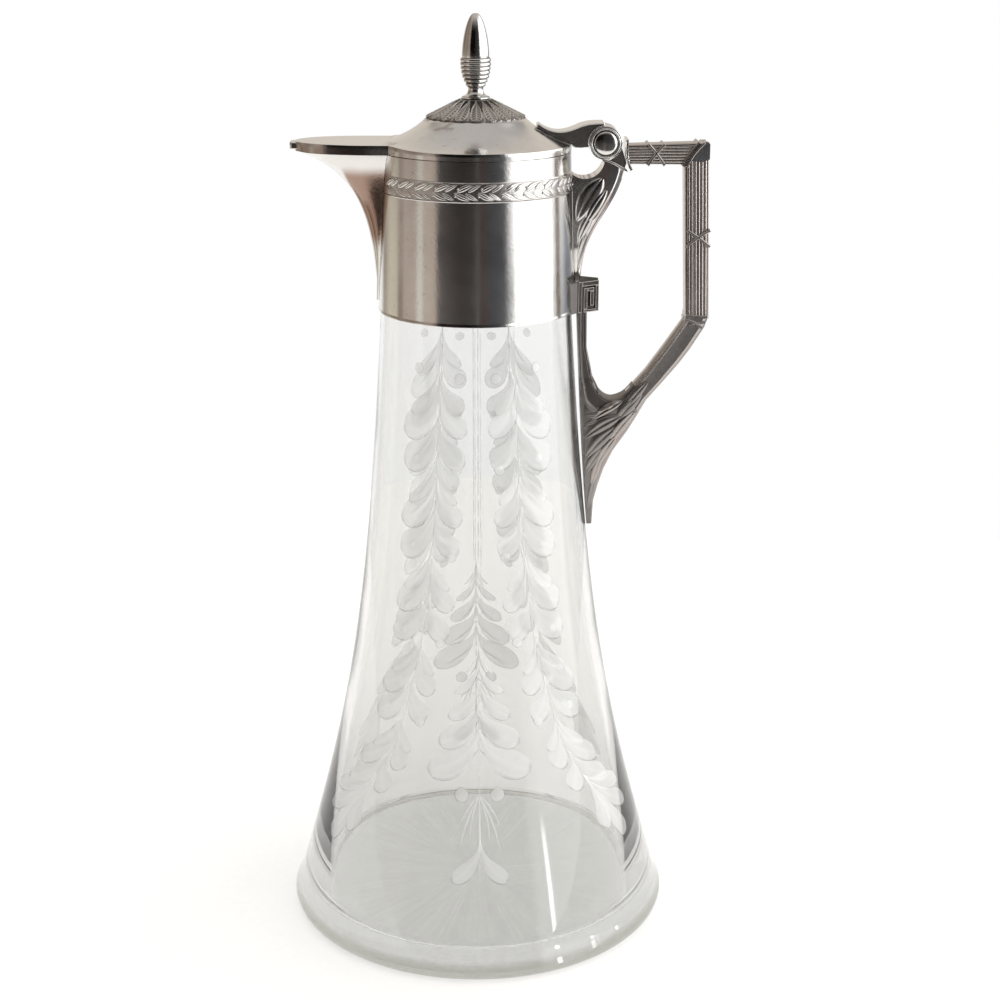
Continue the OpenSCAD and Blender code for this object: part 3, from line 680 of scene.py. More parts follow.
spout_foot_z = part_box("spout")[0].z / MM
spout_lip_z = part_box("spout")[1].z / MM
spout_reach = -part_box("spout")[0].x / MM
spout_half_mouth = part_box("spout")[1].y / MM
spout_t = 0.9
keel = curve((39.9, spout_foot_z), (42.7, 293.6), (40.5, 320.1), (spout_reach, spout_lip_z), 60)
flank = curve((1.6, spout_foot_z), (13.5, 299), (10, 324), (spout_half_mouth, spout_lip_z), 60)
keel_heights = [(z, r) for r, z in keel]
flank_heights = [(z, y) for y, z in flank]


def spout_keel(z):
    return max(between(z, keel_heights), collar_r(z) + 1)


def spout_ring(z, inset, columns=48):
    """One level of the spout, from its far root round the keel to its near root."""
    half_w = max(between(z, flank_heights) - 0.9 * inset, 0.5)
    root = sqrt((collar_r(z) + 0.06) ** 2 - half_w ** 2)
    tip = max(spout_keel(z) - inset, collar_r(z) + 0.4)
    ring = []
    for i in range(columns + 1):
        a = -pi / 2 + pi * i / columns
        ring.append((-(root + (tip - root) * max(cos(a), 0) ** 0.9), -half_w * sin(a), z))
    return ring


def spout_wall(z):
    slope = (spout_keel(z + 0.3) - spout_keel(z - 0.3)) / 0.6
    return min(spout_t * sqrt(1 + slope ** 2), 3.4)


spout_rows = 72
spout_heights = [
    spout_foot_z + (spout_lip_z - spout_foot_z) * (1 - (1 - i / spout_rows) ** 1.8)
    for i in range(spout_rows + 1)
]
stain_edge = ((293, 0.2), (308, 2.5), (320, 5.5), (326, 9))


def spout_stain(x, y, z):
    """A brown patch that narrows down both flanks of the beak from its flare."""
    edge = abs(y) - between(z, stain_edge)
    return ease(0, 1.2, edge) * ease(292, 300, z) * (1 - ease(322, 327.5, z))


spout_plate = plate("spout_plate", bright_plate, dull_plate, 0.12, 0.24, rub=(0.36, 0.25, 0.20))
spout = double_skin(
    "beak_spout",
    [spout_ring(z, 0) for z in spout_heights],
    [spout_ring(z, spout_wall(z)) for z in spout_heights],
    lambda i, k: True,
    spout_plate,
    wrap=False,
    stain=spout_stain,
)
fix(spout, "jug", "silver_plate", "spout")

# Lid
# The real lid is one pressing of plated sheet: a low dome that runs out into a flat tongue.
# A flange under it drops into the collar, and the tongue covers the spout.

lid_z = collar_top + 0.2
rim_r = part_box("lid_cover")[1].y / MM
rim_top = lid_z + 2.85
rosette_z = rim_top + 10.25
rosette_r = 20
cone_top = rosette_z + 7
tongue_reach = -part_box("lid_cover")[0].x / MM - 1.8
tongue_half_w = 17
tongue_centre = 42.5
tongue_z = rim_top + 0.75
dome_crown = (rosette_r, rosette_z - 0.35)
dome_side = curve((rim_r, rim_top), (32, rim_top + 1.55), (24.5, rosette_z - 4.9), dome_crown, 60)
dome_heights = [(2.4, cone_top - 0.7)] + sorted(dome_side)
tarnish_lines = (
    ((-16, -17), (-12.5, -18.6)),
    ((-13.6, -18), (-9.4, -20.6)),
    ((-12.8, -18.4), (-8.6, -17.6)),
)
corner_angle = 180 - degrees(asin(tongue_half_w / rim_r))
side_angle = 180 - degrees(atan2(tongue_half_w, tongue_centre))
sheet_t = 1


def lid_edge(angle):
    """Distance from the axis to the lid's edge in a direction, in degrees from the handle."""
    off_spout = abs(((angle + 180) % 360) - 180)
    if off_spout <= corner_angle:
        return rim_r
    if off_spout <= side_angle:
        return tongue_half_w / sin(radians(off_spout))
    nose = tongue_reach - tongue_centre
    a = radians(off_spout)
    aa = (cos(a) / nose) ** 2 + (sin(a) / tongue_half_w) ** 2
    bb = 2 * cos(a) * tongue_centre / nose ** 2
    cc = (tongue_centre / nose) ** 2 - 1
    return (-bb + sqrt(bb * bb - 4 * aa * cc)) / (2 * aa)


def lid_top(r, angle):
    """Height of the lid's upper face: the dome, eased into the tongue near the spout."""
    off_spout = abs(((angle + 180) % 360) - 180)
    dome = between(r, dome_heights) if r < rim_r else rim_top
    share = ease(corner_angle - 42, corner_angle, off_spout)
    lift = tongue_z + 0.25 * ease(rim_r, tongue_reach, r) - 0.75 * (1 - share)
    soft = 0.7
    gap = (dome - lift) / soft
    if gap > 20:
        return dome
    blend = lift + soft * (gap if gap > 8 else sqrt(gap * gap + 1) / 2 + gap / 2)
    return dome + (blend - dome) * share if share < 1 else blend


def lid_profile(angle, inset):
    """A radial cut through the lid's upper face and edge band."""
    edge = lid_edge(angle) - inset
    start = 2.4
    rim = 0.25 if inset == 0 else 0.05
    rows = 40
    cut = []
    for i in range(rows + 1):
        r = start + (edge - rim - start) * (i / rows) ** 0.9
        cut.append((r, lid_top(r, angle) - inset))
    top = cut[-1][1]
    cut += [(edge - rim * 0.3, top - rim * 0.3), (edge, top - rim)]
    return cut + [(edge, (top + lid_z) / 2), (edge, lid_z + 0.2)]


def lid_angles():
    """Directions of the lid's radial cuts, crowded round the tongue and its corners."""
    half = [corner_angle * i / 90 for i in range(91)]
    half += [corner_angle + (side_angle - corner_angle) * i / 4 for i in range(1, 5)]
    half += [side_angle + (180 - side_angle) * (i / 44) for i in range(1, 45)]
    return half + [360 - a for a in half[-2:0:-1]]


def lid_grid(inset):
    cuts = [(radians(a), lid_profile(a, inset)) for a in lid_angles()]
    rows = len(cuts[0][1])
    return [[(cut[i][0] * cos(a), cut[i][0] * sin(a), cut[i][1]) for a, cut in cuts] for i in range(rows)]


def lid_stain(x, y, z):
    """Tarnish on the tongue's edge band, and a small branching mark on the dome."""
    band = 0.75 * (1 - ease(tongue_z - 0.4, tongue_z - 0.1, z)) * (1 - ease(-46, -40, x))
    mark = 0
    for (x0, y0), (x1, y1) in tarnish_lines:
        dx, dy = x1 - x0, y1 - y0
        t = min(1, max(0, ((x - x0) * dx + (y - y0) * dy) / (dx * dx + dy * dy)))
        off = hypot(x - x0 - dx * t, y - y0 - dy * t)
        mark = max(mark, 0.6 * (1 - ease(0.1, 1.1, off)))
    return max(band, mark)


lid_plate = plate("lid_plate", bright_plate, dull_plate, 0.1, 0.2, rub=(0.34, 0.27, 0.22))
lid = double_skin(
    "domed_lid",
    lid_grid(0)[::-1],
    lid_grid(sheet_t)[::-1],
    lambda i, k: True,
    lid_plate,
    stain=lid_stain,
)
fix(lid, "lid", "silver_plate", "lid_cover")


def upright_prism(plan, low, high, bevel):
    """Points and faces of a block from a plan of (x, y) points, with softened ends."""
    count = len(plan)
    mid = (sum(p[0] for p in plan) / count, sum(p[1] for p in plan) / count)
    small = [(p[0] + (mid[0] - p[0]) * bevel / 6, p[1] + (mid[1] - p[1]) * bevel / 6) for p in plan]
    levels = ((small, low), (plan, low + bevel), (plan, high - bevel), (small, high))
    points = [(x, y, z) for ring, z in levels for x, y in ring]
    faces = [tuple(range(count - 1, -1, -1)), tuple(range(3 * count, 4 * count))]
    for i in range(3):
        for k in range(count):
            m = (k + 1) % count
            faces.append((i * count + k, i * count + m, (i + 1) * count + m, (i + 1) * count + k))
    return points, faces


tab_reach = -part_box("lid_cover")[0].x / MM
tab_half_w = 4.5
tab_round = 1.2
tab_plan = arc((tab_round - tab_reach, tab_round - tab_half_w), tab_round, 270, 180, 5)
tab_plan += arc((tab_round - tab_reach, tab_half_w - tab_round), tab_round, 180, 90, 5)
tab_plan += [(4.5 - tab_reach, tab_half_w), (4.5 - tab_reach, -tab_half_w)]
tab_points, tab_faces = upright_prism(tab_plan[::-1], lid_z + 0.95, tongue_z, 0.3)
tab = make_piece("tongue_tab", tab_points, tab_faces, lid_plate, 30)
fix(tab, "lid", "silver_plate", "lid_cover")

# Lid rosette
# The real rosette is stamped from thin sheet as a ring of veined leaves on a shallow cone.
# It's clamped between the lid and the finial.

rosette_leaves = 18
leaf_columns = 22
rosette_flat_r = 5.9
leaves_r = 6.6


def rosette_cone(r):
    """Height of the rosette's cone at a radius."""
    return cone_top + (rosette_z - cone_top) * (r - rosette_flat_r) / (rosette_r - rosette_flat_r)


def rosette_relief(r, turn):
    """Height and painted shade of the leaves at a radius and a share of a leaf's width, -1 to 1."""
    t = (r - leaves_r) / (rosette_r - leaves_r)
    if t < 0:
        return 0.0, 0.5
    front_w = 0.86 * min(1, t * 2.2 + 0.12)
    if t >= 0.72:
        front_w *= sqrt(max(0, 1 - ((t - 0.72) / 0.29) ** 2))
    side = abs(turn) / max(front_w, 0.01)
    if side < 1:
        rim = ease(0.72, 0.86, side) * (1 - ease(0.93, 1.0, side))
        rib = 1 - ease(0.05, 0.16, side)
        vein = 0.5 + 0.5 * cos(2 * pi * (t * 9 - side * 1.1))
        body = 0.16 + 0.14 * vein * (1 - rib)
        return body + 0.3 * rim + 0.22 * rib, 0.75 * (1 - vein) * (1 - rim) * (1 - rib) + 0.1
    behind = (1 - abs(turn)) / 0.5
    if t > 0.55 and behind < 1:
        rib = 1 - ease(0.05, 0.3, behind)
        return 0.08 + 0.2 * rib, 0.75 - 0.6 * rib
    return 0.0, 1.0


def rosette_mesh():
    rows = 44
    columns = rosette_leaves * leaf_columns
    points, recess, wear_stain_and_highlight = [], [], []
    for i in range(rows + 1):
        r = rosette_flat_r - 0.6 + (rosette_r - rosette_flat_r + 0.6) * i / rows
        for k in range(columns + 1):
            turn = (k / leaf_columns) % 1 * 2 - 1
            height, darkness = rosette_relief(r, turn)
            lobe = 0.35 * abs(turn) ** 3 if i == rows else 0
            a = 2 * pi * k / columns
            top = min(cone_top, rosette_cone(r)) + height
            points.append(((r - lobe) * cos(a), (r - lobe) * sin(a), top))
            recess.append(darkness)
            wear_stain_and_highlight.append(0.8 * ease(0.25, 0.45, height))
    # The skirt under the leaves' edge carries painted shade.
    for drop in (0.45, 0.5):
        for k in range(columns + 1):
            a = 2 * pi * k / columns
            turn = (k / leaf_columns) % 1 * 2 - 1
            r = rosette_r - 0.35 * abs(turn) ** 3 - (0 if drop < 0.5 else 3)
            points.append((r * cos(a), r * sin(a), rosette_cone(r) - drop))
            recess.append(0.6)
            wear_stain_and_highlight.append(0)
    return points, grid_faces(rows + 3, columns + 1, 0, True), recess, wear_stain_and_highlight


points, faces, recess, wear_stain_and_highlight = rosette_mesh()
rosette_tones = ((0.74, 0.70, 0.66), (0.60, 0.56, 0.52))
rosette_plate = plate("rosette_plate", *rosette_tones, 0.2, 0.34, rub=(0.86, 0.82, 0.76))
rosette = make_piece("leaf_rosette", points, faces, rosette_plate, 60, recess, wear_stain_and_highlight)
fix(rosette, "lid", "aged_plate", "lid_rosette")

# Finial
# The real finial is a turned bud on a ribbed knop, cast in one piece and polished.
# A threaded stud, a washer and a nut inside the lid hold it down.

finial_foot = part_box("finial")[0].z / MM
finial_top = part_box("finial")[1].z / MM
finial_waist = finial_foot + 2.2
ribs_low = finial_waist + 2.6
bud_low = finial_foot + 15.9
rib_radii = (4.05, 4.8, 5.45, 5.85, 6.05, 6.2, 6.2)
rib_pitch = (bud_low - ribs_low) / len(rib_radii)


def finial_outline():
    """Radius, height and painted shade from the foot to the tip, deepest between the ribs."""
    foot = finial_foot
    cut = [(3.4, foot, 0.3), (5.3, foot, 0.6), (5.66, foot + 0.25, 0), (5.66, foot + 0.7, 0)]
    cut += [(5.3, foot + 0.95, 0.5), (5.0, foot + 1.05, 0.7)]
    waist = ((3.05, finial_waist + 0.4), (3.0, finial_waist + 1.5))
    flare = curve((4.9, foot + 1.1), (3.5, foot + 1.7), *waist, 8)
    cut += [(r, z, 0) for r, z in flare]
    cut += [(3.15, ribs_low - 0.25, 0.3), (3.4, ribs_low, 0.9)]
    for i, r in enumerate(rib_radii):
        z = ribs_low + (i + 0.5) * rib_pitch
        for a in range(-80, 81, 16):
            deep = ease(45, 80, abs(a))
            out = 0.62 * (cos(radians(a)) - 1)
            cut.append((r + out, z + rib_pitch / 2 * sin(radians(a)), deep))
    cut += [(5.4, bud_low + 0.1, 0.4)]
    bud = curve((5.45, bud_low + 0.25), (5.5, bud_low + 7.2), (3.1, finial_top - 0.1), (0.6, finial_top), 28)
    cut += [(r, z, 0) for r, z in bud]
    return cut + [(0.01, finial_top, 0)]


cut = finial_outline()
bud_outline = [(r, z) for r, z, dark in cut]
bud_dark = [dark for r, z, dark in cut]
finial = turned("bud_finial", bud_outline, polished_plate, 96, 40, bud_dark, False)
fix(finial, "lid", "silver_plate", "finial")
turned_brass = plate("turned_brass", (0.78, 0.60, 0.30), (0.60, 0.44, 0.20), 0.18, 0.34)
for node in ("finial_stud", "finial_washer", "finial_nut"):
    finish_solid(node, turned_brass)

# Lid arm
# The real arm is a cast strap, soldered to the dome, that ends in the hinge's knuckle.
# Its top is softly rounded and its flat cheeks are scooped round the hinge ears.

hinge_at = (51.8, 335.1)
hinge_half_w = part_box("hinge_bracket")[1].y / MM
ear_r = 6.7
knuckle_half_w = 3


def slab(name, outline, half_w, bevel, material, darkness=0.0, sharp=30):
    """A plate from a side view of (x, z) points, as deep as half_w(x, z) says, with bevelled edges."""
    count = len(outline)
    inset = []
    for i in range(count):
        (x0, z0), (x1, z1), (x2, z2) = outline[i - 1], outline[i], outline[(i + 1) % count]
        a, b = hypot(x1 - x0, z1 - z0), hypot(x2 - x1, z2 - z1)
        nx = (z0 - z1) / a + (z1 - z2) / b
        nz = (x1 - x0) / a + (x2 - x1) / b
        size = hypot(nx, nz)
        inset.append((x1 + bevel * nx / size, z1 + bevel * nz / size))
    rings = []
    for side in (-1, 1):
        rim = [(x, side * (half_w(x, z) - bevel), z) for x, z in outline]
        face = [(x, side * half_w(x, z), z) for x, z in inset]
        rings += [face, rim] if side < 0 else [rim, face]
    points = [p for ring in rings for p in ring]
    faces = [tuple(range(count)), tuple(range(4 * count - 1, 3 * count - 1, -1))]
    for i in range(3):
        for k in range(count):
            m = (k + 1) % count
            faces.append((i * count + m, i * count + k, (i + 1) * count + k, (i + 1) * count + m))
    recess = [darkness] * len(points)
    return make_piece(name, points, faces, material, sharp, recess)


def arm_half_w(x, z):
    """Half the arm's width at a place of its side view."""
    return 4 + 2.5 * min(1, max(0, (x - 24) / 17))


arm_top = [(24.2, rim_top + 6.9), (24.5, rim_top + 7.7), (25.4, rim_top + 7.9)]
arm_top += curve((26.6, rim_top + 7.0), (32.6, rim_top + 3.2), (37.5, rim_top + 5.3), (42, rim_top + 7.3), 16)
arm_top += [(45, rim_top + 8.05), (48, rim_top + 8.3), (51.2, rim_top + 8.3)]
arm_scoop = arc(hinge_at, ear_r + 0.35, 94, 193, 14)
arm_under = [(42, rim_top - 1.4), (39.6, rim_top - 1.35), (38.6, rim_top - 0.9), (37.2, rim_top + 0.2)]
arm_under += [(33, rim_top + 1.2), (29, rim_top + 3.2), (25.4, rim_top + 5.3)]
strap = slab("lid_strap", (arm_top + arm_scoop + arm_under)[::-1], arm_half_w, 0.45, polished_plate)
fix(strap, "lid", "silver_plate", "lid_arm")


def on_pin(name, outline, material, steps=96, recess=None, sharp=35):
    """Turns an outline of (radius, distance from the middle plane) about the pin, on both sides."""
    points, faces, darkness = [], [], []
    for side in (-1, 1):
        start = len(points)
        for i, (radius, out) in enumerate(outline):
            for k in range(steps + 1):
                a = 2 * pi * k / steps
                x, z = hinge_at[0] + radius * cos(a), hinge_at[1] + radius * sin(a)
                points.append((x, side * out, z))
                darkness.append(recess[i] if recess else 0)
        faces += grid_faces(len(outline), steps + 1, start, side < 0)
    return make_piece(name, points, faces, material, sharp, darkness)


knuckle_cut = [(ear_r - 0.1, 0), (ear_r - 0.1, knuckle_half_w - 0.35)]
knuckle_cut += [(ear_r - 0.4, knuckle_half_w - 0.1), (1.7, knuckle_half_w - 0.1)]
knuckle = on_pin("lid_knuckle", knuckle_cut, polished_plate)
fix(knuckle, "lid", "silver_plate", "lid_arm")
finish_solid("lid_bezel", polished_plate)

# Hinge
# The real hinge has two ears cast with the bracket and a brass pin through the lid's knuckle.
# A turned rosette with a domed button closes each end of the pin.

ear_cut = [(1.6, knuckle_half_w + 0.05), (ear_r - 0.3, knuckle_half_w + 0.05), (ear_r, knuckle_half_w + 0.3)]
ear_cut += [(ear_r, hinge_half_w - 0.35), (ear_r - 0.35, hinge_half_w), (1.6, hinge_half_w)]
# Painted shade on the ears' inner faces and on their outer faces towards the pin.
ears = on_pin("hinge_ears", ear_cut, polished_plate, recess=[0.5, 0.5, 0, 0, 0.2, 0.9])
fix(ears, "jug", "silver_plate", "hinge_bracket")
rosette_cut = [(6.05, -0.1), (6.05, 0.1)]
rosette_cut += [(5.6 + 0.45 * cos(radians(a)), 0.15 + 0.5 * sin(radians(a))) for a in range(0, 181, 20)]
rosette_cut += [(5.0, 0.05), (4.95, 0.3), (4.85, 0.45), (4.72, 0.3), (4.66, 0.2), (4.6, 0.55)]
rosette_cut += curve((4.55, 0.7), (4.0, 1.2), (2.4, 1.5), (0.01, 1.55), 14)
rosette_cut = [(r, hinge_half_w + out) for r, out in rosette_cut]
# Painted shade at the rosette's foot and in its groove.
rosette_dark = [0.8, 0.3] + [0] * 10 + [1, 0.5, 0, 0.5, 1, 0.4] + [0] * 15
buttons = on_pin("hinge_buttons", rosette_cut, polished_plate, recess=rosette_dark)
fix(buttons, "jug", "silver_plate", "hinge_rosettes")
finish_solid("hinge_pin", turned_brass)

# Bracket strut
# The real strut is cast as a long leaf that springs from the collar and bends out to the hinge.
# Small leaves overlap at its root, and a round gap parts it from the lid.

gap_centre = (43.6, 328.9)
gap_r = 8
strut_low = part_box("bracket_strut")[0].z / MM
strut_outer = curve((42.7, strut_low), (43.7, 301.9), (55.6, 306.1), (59.9, 323.9), 60)
strut_sides = ((strut_low, 1.8), (292, 4.2), (305, 6.0), (318, 6.3), (330, 6.0))
strut_heights = [(z, x) for x, z in strut_outer]


def strut_half(x, z):
    """Half the strut's depth at a place in the side view: round towards its outer edge."""
    root = collar_r(z)
    outer = between(z, strut_heights)
    v = min(1, max(0, (x - root) / max(outer - root, 0.5)))
    bevel = 1 - 0.62 * ease(0, 1, 1 - min(1, max(0, (outer - x) / 2.6))) if outer - x < 2.6 else 1
    return between(z, strut_sides) * (0.98 - 0.1 * (2 * v - 0.9) ** 2) * bevel


def chain(points, count):
    """Evenly spaced points along a line through points."""
    lengths = [0]
    for p, q in zip(points, points[1:]):
        lengths.append(lengths[-1] + hypot(q[0] - p[0], q[1] - p[1]))
    xs = list(zip(lengths, [p[0] for p in points]))
    zs = list(zip(lengths, [p[1] for p in points]))
    steps = [lengths[-1] * i / (count - 1) for i in range(count)]
    return [(between(s, xs), between(s, zs)) for s in steps]


def cheeks(name, inner, outer, depth, material, columns=28, shade=None, sharp=60):
    """A casting between two lines in the side view, the same on its near and far cheek."""
    count = len(inner)
    parts = []
    for side in (-1, 1):
        points, recess, wear_stain_and_highlight = [], [], []
        for (x0, z0), (x1, z1) in zip(inner, outer):
            for k in range(columns + 1):
                v = k / columns
                x, z = x0 + (x1 - x0) * v, z0 + (z1 - z0) * v
                points.append((x, side * depth(x, z), z))
                dark, rub = shade(x, z, v) if shade else (0, 0)
                recess.append(dark)
                wear_stain_and_highlight.append(rub)
        parts.append((points, grid_faces(count, columns + 1, 0, side > 0), recess, wear_stain_and_highlight))
    points, faces, recess, wear_stain_and_highlight = merge(parts)
    back = count * (columns + 1)
    for i in range(count - 1):
        for edge, turned_over in ((0, False), (columns, True)):
            a = i * (columns + 1) + edge
            b = a + columns + 1
            face = (a, b, back + b, back + a)
            faces.append(face[::-1] if turned_over else face)
    for row, turned_over in ((0, False), (count - 1, True)):
        for k in range(columns):
            a = row * (columns + 1) + k
            face = (a, back + a, back + a + 1, a + 1)
            faces.append(face[::-1] if turned_over else face)
    return make_piece(name, points, faces, material, sharp, recess, wear_stain_and_highlight)


strut_root_top = 322.7
strut_inner = [(collar_r(z) + 0.1, z) for z in (strut_low, 290, 300, 310, strut_root_top)]
strut_inner += arc(gap_centre, gap_r, -129, -8, 30)
strut_rows = 90


# Painted shade in the flutes near the gap; wear along the strut's outer edge.
def strut_shade(x, z, v):
    flute = ease(0.2, 0.9, 0.5 + 0.5 * sin(2 * pi * (x * 0.55 - z * 0.42)))
    near_gap = 1 - ease(2.2, 4.2, abs(hypot(x - gap_centre[0], z - gap_centre[1]) - gap_r - 2.6))
    fluted = near_gap * ease(311, 316, z) * (1 - ease(47, 49, x))
    return 0.75 * flute * fluted, 0.9 * ease(0.8, 0.92, v)


strut_lines = (chain(strut_inner, strut_rows), chain(strut_outer, strut_rows))
strut = cheeks("leaf_strut", *strut_lines, strut_half, polished_plate, 28, strut_shade)
fix(strut, "jug", "silver_plate", "bracket_strut")


def on_cheek(depth, side):
    """Lays a place in the side view and a height on a casting's near or far cheek."""

    def place(x, z, height):
        return (x, side * (depth(x, z) + height), z)

    return place


def both_cheeks(name, depth, leaves, berries, material, rub, least_shade=0.0):
    """Raised leaves (base, tip, half width, rise, bend) and berries (centre, radius) on both cheeks, all
    under a floor of painted shade.
    """
    parts = []
    for side in (-1, 1):
        place = on_cheek(depth, side)
        for base, tip, half_w, rise, bend in leaves:
            parts.append(leaf(place, base, tip, half_w, rise, bend, side > 0, rub, 20, 15))
        for centre, radius in berries:
            parts.append(berry(place, centre, radius, radius * 0.9, side > 0, rub))
    points, faces, recess, wear_stain_and_highlight = merge(parts)
    return make_piece(name, points, faces, material, 60, [max(least_shade, dark) for dark in recess], wear_stain_and_highlight)


strut_leaf_list = (
    ((50.6, 321.0), (40.6, 303.6), 4.3, 0.9, -0.8),
    ((52.4, 316.4), (43.6, 301.4), 2.5, 1.0, -0.4),
    ((46.8, 307.6), (41.2, 294.4), 2.2, 0.7, -0.4),
    ((44.8, 301.0), (41.4, 286.5), 1.4, 0.5, -0.2),
)
strut_leaf = both_cheeks("strut_leaves", strut_half, strut_leaf_list, (), polished_plate, 0.25, 0.12)
fix(strut_leaf, "jug", "silver_plate", "bracket_strut")

# Bracket bead
# The real bead is a flange cast on the bracket that takes the end of the top bar.
# A web below the ear joins it to the strut's rim.

aged_plate = plate("aged_plate", (0.60, 0.57, 0.55), (0.47, 0.44, 0.42), 0.16, 0.32)
bead_half_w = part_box("bracket_bead")[1].y / MM
bead_left = curve((59.95, 336.4), (59.9, 334), (59.0, 330), (62.0, 323.8), 12)
bead_right = curve((62.9, 324.3), (61.2, 327.6), (60.7, 331), (61.05, 336.4), 12)
bead = slab("bracket_flange", bead_left + bead_right, lambda x, z: bead_half_w, 0.35, polished_plate)
fix(bead, "jug", "silver_plate", "bracket_bead")
web_outline = arc(hinge_at, ear_r + 0.1, -16, -100, 12) + [(51.6, 326.9), (59.4, 324.2), (60.4, 327)]
# The web under the ear is darkened all over with painted shade.
web = slab("bracket_web", web_outline, lambda x, z: 5.0, 0.3, aged_plate, 0.75)
fix(web, "jug", "silver_plate", "hinge_bracket")
rim_line = [(51.3, 327.9), (55.4, 326.4), (58.6, 324.6), (60.9, 323.4)]
rim_back = [(60.6, 324.3), (58.9, 325.6), (55.6, 327.4), (51.6, 328.9)]
strut_rim = slab("strut_rim", rim_line + rim_back, lambda x, z: 6.1, 0.35, polished_plate)
fix(strut_rim, "jug", "silver_plate", "bracket_strut")

# Handle bars
# The real top bar and grip are cast square bars with six reeds on the near and far faces.
# They meet in a mitre, and painted shade makes dark lines between the reeds.

bar_z = 330.4
bar_w = 9
bar_d = 10.4
reeds = 6
corner_out = (93.4, bar_z + bar_w / 2)
corner_in = (83.9, bar_z - bar_w / 2 + 0.3)
bar_end_in = (61.6, 326.5)
bar_end_out = (60.4, 334.0)
elbow_out = (95.7, 263.2)
elbow_in = (86.1, 264.6)


def reeded_section():
    """Half a turn of the bar's section: (across, depth, painted shade, wear), across running from -1 to 1."""
    pitch = (bar_w - 1.3) / reeds
    bulge = 0.66
    flat = bar_d / 2 - bulge
    face = [(-1, -(flat - 0.55), 0, 0.5), (-0.95, -(flat - 0.1), 0.1, 0.5), (-0.9, -flat, 0.6, 0)]
    for i in range(reeds):
        middle = (i - (reeds - 1) / 2) * pitch
        for a in range(180, -1, -20):
            across = (middle + pitch * 0.49 * cos(radians(a))) / (bar_w / 2)
            side = abs(a - 90) / 90
            depth = flat - 0.1 + bulge * sin(radians(a)) - 0.55 * across ** 2
            # Painted shade on each reed's flanks, where the reeds meet; wear on their crowns.
            face.append((across, -depth, ease(0.4, 0.9, side), 0.4 * (1 - side)))
    face += [(0.9, -flat, 0.6, 0), (0.95, -(flat - 0.1), 0.1, 0.5), (1, -(flat - 0.55), 0, 0.5)]
    back = [(a, -y, dark, rub) for a, y, dark, rub in face[::-1]]
    return face + back


def bar(name, stations, section, material, sharp=50):
    """Sweeps a section along stations of (inner point, outer point) in the side view."""
    count = len(section)
    points, recess, wear_stain_and_highlight = [], [], []
    for (x0, z0), (x1, z1) in stations:
        for across, depth, dark, rub in section:
            t = (across + 1) / 2
            points.append((x0 + (x1 - x0) * t, depth, z0 + (z1 - z0) * t))
            recess.append(dark)
            wear_stain_and_highlight.append(rub)
    faces = []
    for i in range(len(stations) - 1):
        for k in range(count):
            m = (k + 1) % count
            faces.append((i * count + k, (i + 1) * count + k, (i + 1) * count + m, i * count + m))
    last = (len(stations) - 1) * count
    faces += [tuple(range(count)), tuple(range(last + count - 1, last - 1, -1))]
    return make_piece(name, points, faces, material, sharp, recess, wear_stain_and_highlight)


def stations_between(first, last, count):
    """Stations spread between two (inner, outer) pairs."""
    found = []
    for i in range(count + 1):
        t = i / count
        pair = tuple(tuple(a + (b - a) * t for a, b in zip(p, q)) for p, q in zip(first, last))
        found.append(pair)
    return found


bar_section = reeded_section()
top_stations = stations_between((bar_end_in, bar_end_out), (corner_in, corner_out), 12)
top_bar = bar("reeded_top_bar", top_stations, bar_section, aged_plate)
fix(top_bar, "jug", "aged_plate", "handle_top_bar")
grip_stations = stations_between((corner_in, corner_out), (elbow_in, elbow_out), 24)
grip = bar("reeded_grip", grip_stations, bar_section, aged_plate)
fix(grip, "jug", "aged_plate", "handle_grip")

# Ribbons
# The real ribbons are cast with the bars: crossed on top bar and grip, plain at corner and elbow.
# They stand just proud of the reeds and are rubbed bright on top.

ribbon_proud = 0.45


def band_outline(start, end, width, bow=0.0, steps=8):
    """The side view of a ribbon from one edge of a bar to the other."""
    run = (end[0] - start[0], end[1] - start[1])
    long = hypot(*run)
    across = (-run[1] / long, run[0] / long)
    edges = []
    for sign in (-1, 1):
        line = []
        for i in range(steps + 1):
            t = i / steps
            off = sign * width / 2 + bow * sin(pi * t)
            x = start[0] + run[0] * t + across[0] * off
            line.append((x, start[1] + run[1] * t + across[1] * off))
        edges.append(line)
    return edges[0] + edges[1][::-1]


def ribbon(name, start, end, width, node, bow=0.0, proud=ribbon_proud):
    """A band right round a bar, seen as a strip on its near and far faces."""
    outline = band_outline(start, end, width, bow)
    # Slight painted shade over each ribbon.
    band = slab(name, outline, lambda x, z: bar_d / 2 + proud, 0.3, aged_plate, 0.15, 25)
    fix(band, "jug", "aged_plate", node)


tie_at = (72.3, bar_z - 0.1)
grip_tie_at = (90.4, 296.5)
tie_reach = 3.4
for name, turned_over in (("rising", 1), ("falling", -1)):
    start = (tie_at[0] - tie_reach, tie_at[1] - 4.3 * turned_over)
    end = (tie_at[0] + tie_reach, tie_at[1] + 4.3 * turned_over)
    ribbon("top_tie_" + name, start, end, 1.1, "ribbon_ties", 0.35)
    start = (grip_tie_at[0] - 4.9, grip_tie_at[1] - tie_reach * turned_over)
    end = (grip_tie_at[0] + 4.7, grip_tie_at[1] + tie_reach * turned_over)
    ribbon("grip_tie_" + name, start, end, 1.1, "ribbon_ties", 0.35)
ribbon("corner_band", (83.2, 325.5), (89.6, 335.2), 1.4, "corner_ribbon", 0.5)
ribbon("corner_band_second", (84.6, 325.4), (91.6, 335.0), 1.1, "corner_ribbon", 0.7)
cap_outline = [(86.6, 328.0), (91.6, 334.7), (93.0, 334.8), (93.4, 334.2), (93.5, 328.6), (90.6, 327.8)]


